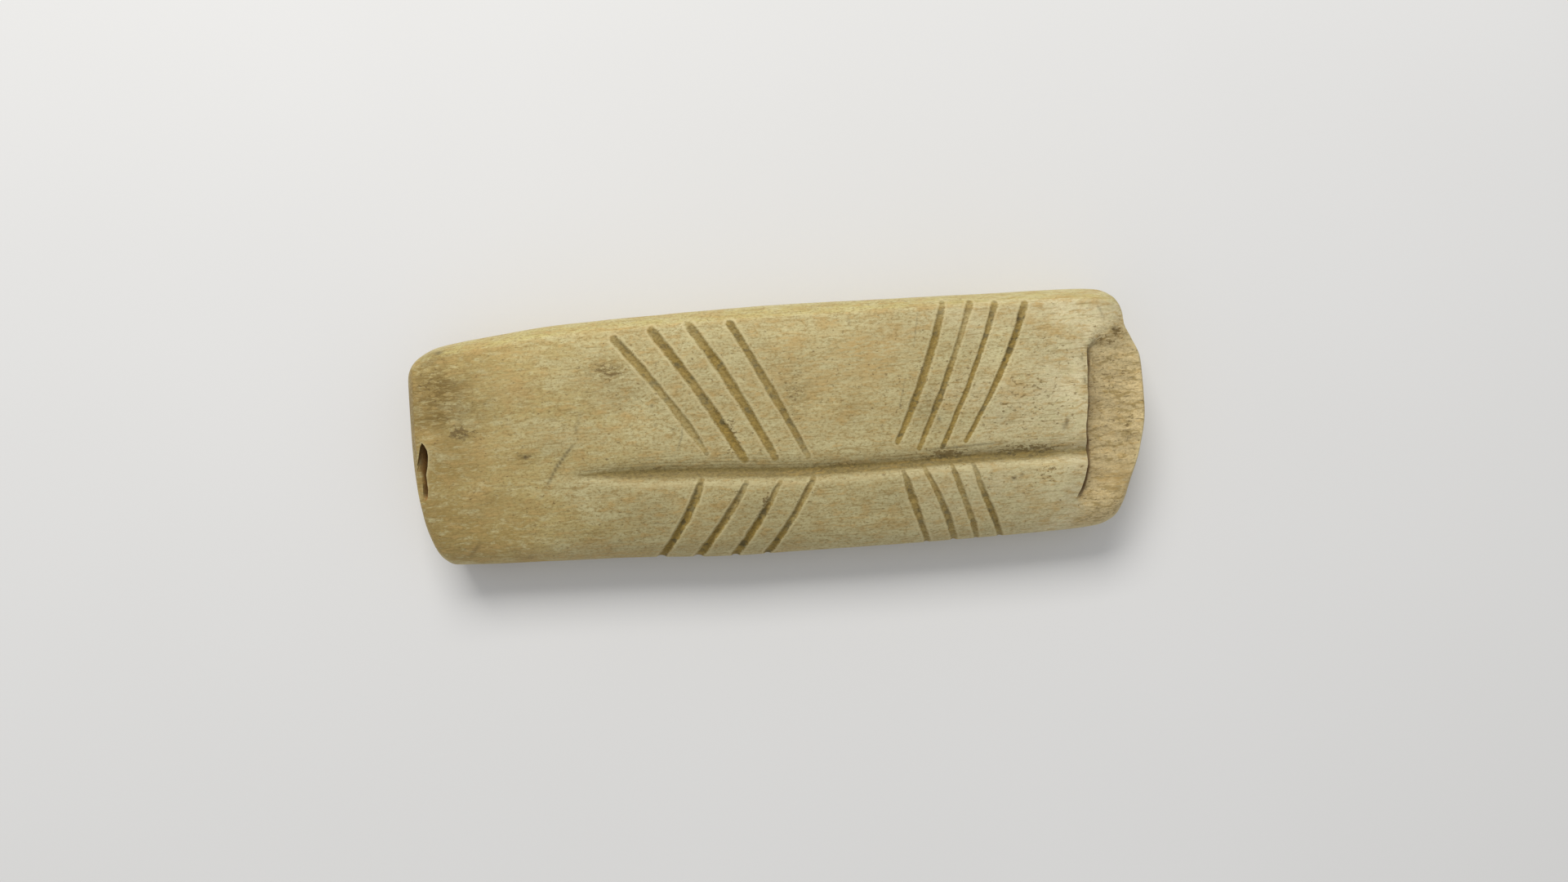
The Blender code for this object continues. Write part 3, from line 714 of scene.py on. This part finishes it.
SPECKLED = (
    (25.3, 1, 4.2, 3.8, 1), (28.4, 5.2, 2.2, 2.8, 0.7), (17.5, 2.5, 8, 5, 0.55),
    (-11.8, 4.6, 4, 3, 0.45), (23, -6.8, 4.5, 1.6, 0.4), (5, 5, 5, 3.5, 0.35),
    (-33, 4.5, 4, 3.5, 0.4), (33.6, 2, 2.6, 6, 0.35),
)
GRIMES = (
    (-31.6, 1.8, 1.3, 0.75, 0.85), (-33.6, 6.2, 2.6, 2.6, 0.35), (33.4, 6.5, 1.6, 0.5, 0.55),
    (33.6, 3, 2, 3.5, 0.25), (-25.2, -1, 0.45, 0.35, 0.9), (-16.6, 6.9, 1.5, 1, 0.95),
    (-4.6, -0.5, 0.6, 1.6, 1), (-5.8, 1.5, 0.5, 0.8, 0.6), (14.6, 4.9, 0.4, 0.8, 0.7),
    (20, 4.6, 0.4, 0.8, 0.6), (24.6, 9.2, 0.35, 0.7, 1), (-1.7, -7.4, 0.6, 1.1, 0.8),
    (24.6, -3.9, 3.6, 0.6, 1), (16.5, -3.8, 3, 0.6, 1), (5, -4.2, 3, 0.45, 0.7),
    (-12.7, -3.1, 1.8, 0.25, 0.6), (34.6, 7.2, 0.6, 0.5, 0.8), (35, -2.2, 0.5, 0.4, 0.9),
    (26.5, -6.3, 1.4, 1.1, 0.5), (2.2, 3.5, 1.3, 1.9, 0.35),
)
PINPRICKS = (
    (-25.3, -1, 0.28, 0.2, 1), (-24.8, -0.9, 0.14, 0.11, 0.8), (-25.9, -0.8, 0.11, 0.11, 0.7),
    (24.7, 9.3, 0.2, 0.45, 0.9), (-31.9, 2.2, 0.2, 0.16, 0.7), (-31, 1.6, 0.22, 0.16, 0.7),
    (-32.4, 1.6, 0.22, 0.16, 0.7), (-31.5, 1.4, 0.25, 0.14, 0.7), (-12.4, 3.2, 0.16, 0.16, 0.8),
    (-12.2, 1.3, 0.14, 0.14, 0.6), (-18.8, 5.05, 0.16, 0.16, 0.6), (16, -0.2, 0.22, 0.2, 0.9),
    (23, -6.6, 0.24, 0.2, 0.9), (23.8, -6.3, 0.2, 0.16, 0.7), (35, -3.5, 0.3, 0.22, 0.8),
    (34.3, 7.6, 0.3, 0.3, 0.8), (30.7, 2.6, 0.12, 0.3, 0.8), (30.6, 4.8, 0.12, 0.25, 0.7),
    (-33.5, 10.1, 0.38, 0.2, 1), (7.8, 10.2, 0.1, 0.4, 0.4),
)

# Thin lines on the face, each as (points, half width, strength)
SCRATCHES = (
    (((-20.45, -0.12), (-21.3, -1.05), (-22.4, -2.4), (-23.4, -4.1)), 0.14, 1),
    (((-19.4, 3), (-20, 1.6), (-20.1, 0.9)), 0.13, 0.55),
    (((-9.5, 0.86), (-9.65, -0.1), (-10.2, -1.45)), 0.08, 0.7),
    (((14.6, -3.15), (17.5, -3.1), (19.6, -3.02), (22.4, -2.98)), 0.08, 0.85),
    (((14.7, 10.6), (14.4, 9.1), (14, 7)), 0.06, 0.6),
    (((12.9, 4.1), (12.55, 2.7), (12.1, 1.1)), 0.06, 0.55),
    (((32.6, 10.1), (32.9, 9.4), (33.2, 8.5)), 0.12, 0.55),
    (((-30.6, -9.2), (-31.4, -9.9), (-32.2, -10.6)), 0.22, 0.5),
    (((28.75, -0.95), (28.25, -2.1)), 0.18, 1),
)


def marks_at(x, y, marks):
    """Strength of soft oval marks at plan places."""
    total = np.zeros(x.shape)
    for mark_x, mark_y, reach_x, reach_y, strength in marks:
        away = ((x - mark_x) / reach_x) ** 2 + ((y - mark_y) / reach_y) ** 2
        total = np.maximum(total, strength * np.exp(-away))
    return total


def lines_at(x, y, lines):
    """Strength of thin drawn lines at plan places."""
    total = np.zeros(x.shape)
    for points, half_width, strength in lines:
        distance, place = along_line(x, y, *np.array(points, float).T)
        fade = np.sin(math.pi * np.clip(place, 0.03, 0.97)) ** 0.4
        total = np.maximum(total, strength * fade * bell(distance, 0.0, half_width))
    return total


def rim_distance(x, y):
    """Rough distance in plan from a place to the nearest outline, measured straight at it."""
    away = np.full(x.shape, np.inf)
    for outline, side in ((UPPER_EDGE, 1.0), (LOWER_EDGE, -1.0)):
        reach = edge(outline, x)
        slope = (edge(outline, np.clip(x + 0.05, -HALF_LENGTH, HALF_LENGTH)) - reach) / 0.05
        away = np.minimum(away, side * (reach - y) / np.hypot(1.0, slope))
    return away


def paint_masks(piece):
    """Stores on the skin's points its dirt, stains, wear, scratches and step, and where highlight and shade
    are painted on, as in the slot.
    """
    place = np.empty(len(piece.data.vertices) * 3)
    piece.data.vertices.foreach_get("co", place)
    x, y, z = place.reshape(-1, 3).T / MM
    share = share_across(x, y)
    face = smooth_step(z - waist_height(x, share), -0.8, 0.3)
    roof = THICKNESS - SLOT_COVER
    # A little more than the pocket itself, so that its own skin is inside
    in_slot = (
        (x < -HALF_LENGTH + SLOT_LENGTH + 0.1)
        & (np.abs(y - SLOT_MIDDLE) < SLOT_WIDTH / 2 + 0.3)
        & (z < top_height(x - 0.3, share) - 0.12)
        & (z > roof - SLOT_HEIGHT - 0.2)
    )
    inner = np.where(in_slot & (x > -HALF_LENGTH + 0.15), 1.0, 0.0)
    from_chip = x - np.interp(y, *np.array(CHIP_EDGE).T)
    brink_start, brink_end = slot_brink(y)
    # The painted shade inside the slot starts before the brink, and further out in the upper part of the
    # mouth
    slot_shade_start = brink_start - 0.1 - 0.45 * smooth_step(y, -2.2, -1.2)
    broken_wall = smooth_step(z, roof - 0.05, roof + 0.2) * smooth_step(x, -36.05, -35.8)
    slot_shade = inner * smooth_step(x, slot_shade_start, 0.5 * (brink_start + brink_end)) * (1 - broken_wall)
    slot_shade *= smooth_step(y, SLOT_FOOT, SLOT_FOOT + 0.4)
    chip_rim = bell(from_chip, 0.3, 0.18) * smooth_step(y, -4.6, -2.6)
    chip_rim *= 1 - smooth_step(y, 1.0, 1.6)
    face = face * (1 - inner)
    stroke_fill, stroke_dirt, stroke_rim = stroke_relief(x, y, STROKE_LINES)[1:]
    groove_dirt, groove_lip = groove_relief(x, y)[1:]
    on_floor = step_floor(x, y, top_height(x, share))[1]
    upper_face = 1 - on_floor
    groove_dirt = groove_dirt * upper_face
    # The step's wall: a dark line at its foot and a softer darkening of the tongue beyond it, painted shade
    # where the wall keeps the light off, with dirt in the corner
    past_wall = x - wall_x(y)
    wall_foot_shade = on_floor * np.exp(-np.clip(past_wall, 0.0, None) / 0.8)
    wall_shade_line = smooth_step(past_wall, -0.02, 0.06) * (1 - smooth_step(past_wall, 0.4, 0.66))
    wall_shade_line *= np.interp(y, *np.array(WALL_FILL).T)
    near_end = np.maximum(on_floor, smooth_step(-x, 31.0, 34.0))
    end_rim = (1 - smooth_step(rim_distance(x, y), 0.1, 0.9)) * near_end
    # Paler rims round the strokes, the groove's lower lip, the chip's broken edge and the ends: partly wear,
    # partly painted highlight where these edges catch the light
    wear_and_highlight = np.maximum(np.maximum(stroke_rim, 0.5 * groove_lip * upper_face), np.maximum(chip_rim, end_rim))
    # Painted highlight: the face lighter in the few millimetres below the band, less so towards the right
    # end; painted fill light: lighter along the lower edge
    border = y - smooth_curve(BAND_BORDER, x)
    upper_highlight = smooth_step(border, -3.0, -0.8) * (1 - 0.55 * smooth_step(x, 6.0, 14.0))
    upper_highlight = upper_highlight * (1 - 0.7 * smooth_step(border, -0.2, 0.4))
    lower_edge_light = 0.7 * (1 - smooth_step((1 - share) * WIDTH, 1.4, 3.8))
    # Brightness over the face: that painted highlight and fill light, with the pale and dim marks
    tone_and_painted_light = 1.01 + 0.15 * np.maximum(upper_highlight, lower_edge_light) + 0.3 * marks_at(x, y, PALES)
    tone_and_painted_light = tone_and_painted_light - 0.2 * marks_at(x, y, DIMS)
    masks = {
        "cut_fill": stroke_fill * face,
        "cut_dirt": stroke_dirt,
        "groove_dirt": groove_dirt * face,
        "wall_dirt_and_shade": np.maximum(wall_shade_line, 0.45 * wall_foot_shade) * face,
        "wear_and_highlight": wear_and_highlight * face,
        "tone_and_painted_light": tone_and_painted_light,
        "stain": marks_at(x, y, STAINS) * face,
        "ochre": marks_at(x, y, OCHRES) * face,
        "grime": marks_at(x, y, GRIMES) * face,
        "speckled": marks_at(x, y, SPECKLED) * face,
        "pinprick": np.maximum(marks_at(x, y, PINPRICKS), lines_at(x, y, SCRATCHES)) * face,
        "tongue": on_floor * face,
        "slot_shade": slot_shade,
        # The upper side's band: a yellow tint and painted highlight on the side that faces the lamp, and a
        # painted highlight along its outline
        "band_tint_and_highlight": smooth_step(border, -0.15, 0.25) * smooth_step(z, 3.0, 5.0),
        "band_border": bell(border, -0.25, 0.2) * face,
        "band_rim_highlight": (1 - smooth_step(share * WIDTH, 0.1, 0.6)) * smooth_step(z, 3.5, 5.0),
    }
    for name, values in masks.items():
        layer = piece.data.attributes.new(name, "FLOAT", "POINT")
        layer.data.foreach_set("value", values.astype(np.float32))


# Colours of the finish, linear
LEFT_END_TAN = (0.31, 0.22, 0.072)
HONEY_BONE = (0.416, 0.33, 0.134)
WARM_BONE = (0.44, 0.374, 0.186)
CREAM_BONE = (0.505, 0.436, 0.24)
RIGHT_END_CREAM = (0.58, 0.508, 0.305)
# Cream of the painted highlight along the upper outline
RIM_HIGHLIGHT_CREAM = (0.52, 0.465, 0.26)
OLIVE_CREAM = (0.455, 0.408, 0.22)
ORANGE_TAN = (0.465, 0.318, 0.118)
# Cream of the upper band: its tint and painted highlight
BAND_HIGHLIGHT_CREAM = (0.47, 0.402, 0.16)
BORDER_TAN = (0.4, 0.29, 0.11)
# Cream of the rubbed rims and of their painted highlight
WEAR_AND_HIGHLIGHT_CREAM = (0.54, 0.455, 0.238)
TONGUE_TAN = (0.5, 0.385, 0.19)
OLIVE_BROWN = (0.19, 0.124, 0.032)
FIBRE_BROWN = (0.27, 0.186, 0.064)
OCHRE_BROWN = (0.29, 0.2, 0.066)
PORE_BROWN = (0.165, 0.11, 0.038)
CUT_BROWN = (0.262, 0.178, 0.044)
CUT_GREY = (0.138, 0.106, 0.04)
GROOVE_BROWN = (0.212, 0.157, 0.052)
# Brown of the dirt and painted shade at the foot of the step's wall
WALL_DIRT_AND_SHADE_BROWN = (0.13, 0.074, 0.025)
# Reddish brown painted as shade inside the slot
SLOT_SHADE_BROWN = (0.36, 0.18, 0.052)
CRUMB_BROWN = (0.08, 0.06, 0.028)
RUST_BROWN = (0.29, 0.196, 0.056)
BONE_GLOSS = 0.2
BUMP_STRENGTH = 0.6
BUMP_HEIGHT = 0.0001

# Floor, light and camera, in metres
FLOOR_SIZE = 1.5
FLOOR_PAINTS = ((0.74, 0.735, 0.72), (0.78, 0.775, 0.765))
FLOOR_ROUGHNESS = 0.8
LAMP_PLACE = (-0.06, 0.3, 0.3)
LAMP_SIZE = (0.26, 0.16)
LAMP_POWER = 1.35
LAMP_COLOUR = (1.0, 0.985, 0.96)
SKY_COLOUR = (0.97, 0.98, 1.0, 1.0)
SKY_STRENGTH = 0.5
LENS = 24.45
CAMERA_PLACE = (0.00045, -0.00125, THICKNESS * MM + 0.10567)
CAMERA_TURN = -4.2


class Finish:
    """A material that is laid on in coats."""

    def __init__(self, name):
        self.material = bpy.data.materials.new(name)
        self.material.use_nodes = True
        self.tree = self.material.node_tree
        self.shader = self.tree.nodes["Principled BSDF"]
        self.object_place = self.tree.nodes.new("ShaderNodeTexCoord").outputs["Object"]
        self.colour = None

    def put(self, kind, values, **settings):
        """Adds a node with its settings, and gives each input a value or a link."""
        made = self.tree.nodes.new(kind)
        for key, value in settings.items():
            setattr(made, key, value)
        for key, value in values.items():
            if isinstance(value, bpy.types.NodeSocket):
                self.tree.links.new(value, made.inputs[key])
            else:
                made.inputs[key].default_value = value
        return made

    def grain(self, length, width, shift=0.0, detail=2.0, roughness=0.55, distortion=0.0):
        """Random patches of about this length along the bar, and this width across and through it."""
        scale = [1 / (MM * reach) for reach in (length, width, width)]
        moved = (shift, shift * 0.7, 0)
        place = self.put(
            "ShaderNodeMapping", {"Vector": self.object_place, "Scale": scale, "Location": moved}
        )
        return self.put(
            "ShaderNodeTexNoise",
            {
                "Vector": place.outputs[0], "Scale": 1.0, "Detail": detail,
                "Roughness": roughness, "Distortion": distortion,
            },
        ).outputs[0]

    def level(self, value, start, end, low=0.0, high=1.0):
        """Turns a value into one that eases from low at start to high at end."""
        return self.put(
            "ShaderNodeMapRange",
            {"Value": value, "From Min": start, "From Max": end, "To Min": low, "To Max": high},
            interpolation_type="SMOOTHSTEP",
        ).outputs[0]

    def times(self, a, b):
        return self.put("ShaderNodeMath", {0: a, 1: b}, operation="MULTIPLY").outputs[0]

    def plus(self, a, b):
        return self.put("ShaderNodeMath", {0: a, 1: b}, operation="ADD").outputs[0]

    def mask(self, name):
        return self.put("ShaderNodeAttribute", {}, attribute_name=name).outputs["Fac"]

    def coat(self, under, over, amount):
        """Lays a colour over the one under it, as thickly as amount says."""
        over = over if isinstance(over, bpy.types.NodeSocket) else (*over, 1.0)
        under = under if isinstance(under, bpy.types.NodeSocket) else (*under, 1.0)
        return self.put("ShaderNodeMix", {0: amount, 6: under, 7: over}, data_type="RGBA").outputs[2]

    def tone(self, colour, brightness):
        """Lightens or darkens a colour by a factor that changes over the surface."""
        grey = self.put("ShaderNodeCombineColor", dict.fromkeys(("Red", "Green", "Blue"), brightness))
        return self.put(
            "ShaderNodeMix", {0: 1.0, 6: colour, 7: grey.outputs[0]}, data_type="RGBA", blend_type="MULTIPLY"
        ).outputs[2]

    def lay(self, over, amount):
        """Lays a coat over everything so far."""
        self.colour = self.coat(self.colour, over, amount)

    def shade(self, brightness):
        """Lightens or darkens everything so far."""
        self.colour = self.tone(self.colour, brightness)


def old_bone():
    """Weathered bone, warm at the left and creamy at the right, with fibres, pores, stains and dirty cuts."""
    bone = Finish("old_bone")
    along = bone.put("ShaderNodeSeparateXYZ", {"Vector": bone.object_place}).outputs[0]
    drift = bone.plus(bone.times(along, 1 / MM), bone.level(bone.grain(9, 5, 3.0), 0.3, 0.7, -5, 5))
    bone.colour = LEFT_END_TAN
    bone.lay(HONEY_BONE, bone.level(drift, -35, -25))
    bone.lay(WARM_BONE, bone.level(drift, -25, -15))
    bone.lay(CREAM_BONE, bone.level(drift, 12, 23))
    bone.lay(RIGHT_END_CREAM, bone.level(drift, 22, 33))

    border = bone.level(bone.grain(4.0, 0.8, 67.0), 0.38, 0.6, 0.0, 0.75)
    bone.lay(BORDER_TAN, bone.times(bone.mask("band_border"), border))
    # Yellow tint and painted highlight on the upper side's band, and a painted highlight along its outline
    band_tint_and_highlight = bone.times(bone.mask("band_tint_and_highlight"), bone.level(bone.grain(3.5, 0.5, 9.0), 0.25, 0.6, 0.35, 0.95))
    bone.lay(BAND_HIGHLIGHT_CREAM, band_tint_and_highlight)
    bone.lay(RIM_HIGHLIGHT_CREAM, bone.times(bone.mask("band_rim_highlight"), 0.6))

    clouds = bone.grain(3.4, 1.9, 11.0, 4.0, 0.62, 0.4)
    bone.lay(ORANGE_TAN, bone.level(clouds, 0.5, 0.7, 0.0, 0.6))
    bone.lay(OLIVE_CREAM, bone.level(clouds, 0.49, 0.32, 0.0, 0.55))
    bone.shade(bone.level(clouds, 0.32, 0.68, 1.05, 0.94))
    mottle = bone.grain(1.45, 0.5, 5.0, 5.0, 0.68, 0.5)
    bone.lay(ORANGE_TAN, bone.level(mottle, 0.5, 0.66, 0.0, 0.72))
    bone.lay(OLIVE_CREAM, bone.level(mottle, 0.5, 0.36, 0.0, 0.6))
    bone.shade(bone.level(mottle, 0.32, 0.68, 1.05, 0.93))
    speckle = bone.grain(0.34, 0.22, 51.0, 3.0, 0.7)
    plainness = bone.level(drift, 14, 30, 1.0, 0.35)
    bone.lay(OCHRE_BROWN, bone.times(bone.level(speckle, 0.49, 0.66, 0.0, 0.72), plainness))
    bone.shade(bone.level(speckle, 0.3, 0.56, 1.13, 1.0))
    long_fibre = bone.grain(2.6, 0.2, 2.0, 3.0, 0.6, 0.25)
    bone.lay(FIBRE_BROWN, bone.level(long_fibre, 0.53, 0.72, 0.0, 0.6))

    streaks = bone.grain(1.0, 0.26, 31.0, 4.0, 0.7, 0.8)
    tongue = bone.coat(TONGUE_TAN, ORANGE_TAN, bone.level(mottle, 0.5, 0.66, 0.0, 0.5))
    pitted = bone.grain(1.7, 0.55, 91.0, 3.0, 0.65, 0.6)
    tongue = bone.coat(tongue, OCHRE_BROWN, bone.level(pitted, 0.5, 0.62, 0.0, 0.85))
    tongue = bone.coat(tongue, PORE_BROWN, bone.level(streaks, 0.53, 0.67, 0.0, 0.9))
    tongue = bone.tone(tongue, bone.level(speckle, 0.3, 0.68, 1.22, 0.88))
    bone.lay(tongue, bone.times(bone.mask("tongue"), 0.85))
    # Paler rims: wear, and painted highlight where the edges catch the light
    wear_and_highlight = bone.level(bone.grain(1.8, 0.5, 13.0), 0.3, 0.6, 0.35, 0.85)
    bone.lay(WEAR_AND_HIGHLIGHT_CREAM, bone.times(bone.mask("wear_and_highlight"), wear_and_highlight))

    ochre = bone.level(bone.grain(1.5, 0.26, 17.0, 4.0, 0.65), 0.38, 0.62)
    bone.lay(ORANGE_TAN, bone.times(bone.mask("ochre"), ochre))
    blotch = bone.level(bone.grain(1.2, 0.32, 19.0, 4.0, 0.72, 0.5), 0.4, 0.58)
    bone.lay(OLIVE_BROWN, bone.times(bone.mask("stain"), blotch))
    specks = bone.grain(0.46, 0.28, 27.0, 3.0, 0.65)
    sparse = bone.level(bone.grain(6.0, 4.0, 37.0), 0.35, 0.65, 0.0, 0.05)
    crowding = bone.plus(bone.times(bone.mask("grime"), 0.28), sparse)
    pores = bone.plus(bone.plus(specks, crowding), -0.68)
    pores = bone.level(pores, 0.0, 0.1, 0.0, 0.85)
    bone.lay(PORE_BROWN, pores)
    fine_specks = bone.grain(0.46, 0.32, 83.0, 2.0, 0.5)
    fine_specks = bone.plus(fine_specks, bone.times(bone.mask("speckled"), 0.1))
    bone.lay(PORE_BROWN, bone.level(fine_specks, 0.64, 0.78, 0.0, 0.7))
    # Brightness from the painted highlight and fill light at the edges, and from the pale and dim marks
    bone.shade(bone.mask("tone_and_painted_light"))

    packed = bone.coat(CUT_BROWN, CUT_GREY, bone.level(bone.grain(1.2, 0.8, 41.0, 3.0), 0.5, 0.66))
    packed = bone.tone(packed, bone.level(mottle, 0.3, 0.7, 1.15, 0.85))
    packed = bone.tone(packed, bone.level(speckle, 0.3, 0.7, 1.25, 0.8))
    ragged = bone.level(bone.grain(0.4, 0.26, 43.0, 3.0), 0.25, 0.75, -0.14, 0.14)
    filled = bone.level(bone.plus(bone.mask("cut_fill"), ragged), 0.5, 0.95)
    dirt = bone.times(bone.mask("cut_dirt"), filled)
    bone.lay(packed, dirt)
    silt = bone.level(bone.grain(1.1, 0.14, 61.0, 4.0, 0.7), 0.36, 0.6, 0.72, 1.0)
    crumbs = bone.level(bone.grain(0.6, 0.32, 71.0, 3.0, 0.65), 0.5, 0.62, 0.0, 0.85)
    crumbs = bone.times(crumbs, bone.level(bone.mask("grime"), 0.0, 0.8, 0.12, 0.9))
    rust = bone.level(bone.grain(1.8, 0.3, 97.0, 3.0, 0.6), 0.48, 0.64, 0.0, 0.8)
    rust = bone.times(rust, bone.level(drift, -10, 4, 0.15, 1.0))
    caked = bone.coat(bone.coat(GROOVE_BROWN, RUST_BROWN, rust), CRUMB_BROWN, crumbs)
    caked = bone.tone(caked, bone.level(speckle, 0.3, 0.7, 1.25, 0.8))
    silted = bone.level(bone.plus(bone.mask("groove_dirt"), bone.times(silt, 0.5)), 0.42, 1.3)
    bone.lay(caked, silted)
    # Dirt and painted shade at the foot of the step's wall
    bone.lay(WALL_DIRT_AND_SHADE_BROWN, bone.mask("wall_dirt_and_shade"))
    bone.lay(CRUMB_BROWN, bone.times(bone.mask("pinprick"), 0.7))
    # Reddish painted shade inside the slot, past the brink of its mouth
    slot_shade = bone.level(bone.grain(1.2, 1.0, 47.0), 0.25, 0.6, 0.7, 1.0)
    bone.lay(SLOT_SHADE_BROWN, bone.times(bone.mask("slot_shade"), slot_shade))
    bone.tree.links.new(bone.colour, bone.shader.inputs["Base Color"])

    roughness = bone.plus(bone.level(long_fibre, 0.3, 0.7, 0.5, 0.62), bone.times(dirt, 0.25))
    bone.tree.links.new(roughness, bone.shader.inputs["Roughness"])
    bone.shader.inputs["Specular IOR Level"].default_value = BONE_GLOSS
    height = bone.plus(mottle, bone.times(speckle, 0.3))
    height = bone.plus(height, bone.times(long_fibre, -0.45))
    height = bone.plus(height, bone.times(pores, -0.15))
    bump = bone.put(
        "ShaderNodeBump", {"Strength": BUMP_STRENGTH, "Distance": BUMP_HEIGHT, "Height": height}
    )
    bone.tree.links.new(bump.outputs[0], bone.shader.inputs["Normal"])
    return bone.material


def pale_floor():
    """A plain pale tabletop."""
    bm = bmesh.new()
    bmesh.ops.create_grid(bm, x_segments=1, y_segments=1, size=FLOOR_SIZE)
    floor = finished("pale_floor", bm)
    paint = Finish("pale_paint")
    patches = paint.grain(60.0, 60.0, 1.0)
    paint.tree.links.new(paint.coat(*FLOOR_PAINTS, patches), paint.shader.inputs["Base Color"])
    paint.shader.inputs["Roughness"].default_value = FLOOR_ROUGHNESS
    floor.data.materials.append(paint.material)


def soft_light():
    """One broad lamp beyond the bar's upper side, and an even pale sky."""
    lamp = bpy.data.lights.new("broad_lamp", "AREA")
    lamp.shape = "RECTANGLE"
    lamp.size, lamp.size_y = LAMP_SIZE
    lamp.energy = LAMP_POWER
    lamp.color = LAMP_COLOUR
    key = bpy.data.objects.new("broad_lamp", lamp)
    key.location = LAMP_PLACE
    key.rotation_euler = (-Vector(LAMP_PLACE)).to_track_quat("-Z", "Y").to_euler()
    key.visible_camera = False
    bpy.context.scene.collection.objects.link(key)
    sky = bpy.data.worlds.new("pale_sky")
    sky.use_nodes = True
    background = sky.node_tree.nodes["Background"]
    background.inputs["Color"].default_value = SKY_COLOUR
    background.inputs["Strength"].default_value = SKY_STRENGTH
    bpy.context.scene.world = sky
    bpy.context.scene.view_settings.view_transform = "Standard"


def photo_camera():
    """A camera straight above the face, turned a little, as the photograph was taken."""
    data = bpy.data.cameras.new("camera")
    data.sensor_width = 36.0
    data.lens = LENS
    data.clip_start = 0.005
    camera = bpy.data.objects.new("camera", data)
    camera.location = CAMERA_PLACE
    camera.rotation_euler = (0, 0, math.radians(CAMERA_TURN))
    bpy.context.scene.collection.objects.link(camera)
    bpy.context.scene.camera = camera


def carved_bone():
    """The whole bar: the carved skin with its slot and chip cut, and its finish."""
    bone = bone_skin()
    take_away(bone, slot_pocket())
    take_away(bone, chip_block())
    clear_slivers(bone)
    rework(bone, MM)
    bone.name = "carved_bone"
    bone.data.name = "carved_bone"
    paint_masks(bone)
    bone.data.materials.clear()
    bone.data.materials.append(old_bone())
    for polygon in bone.data.polygons:
        polygon.use_smooth = True
    bone.data.set_sharp_from_angle(angle=math.radians(SHARP_ANGLE))
    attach(bone, "root")
    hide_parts(BAR)


photo_camera()
soft_light()
pale_floor()
carved_bone()
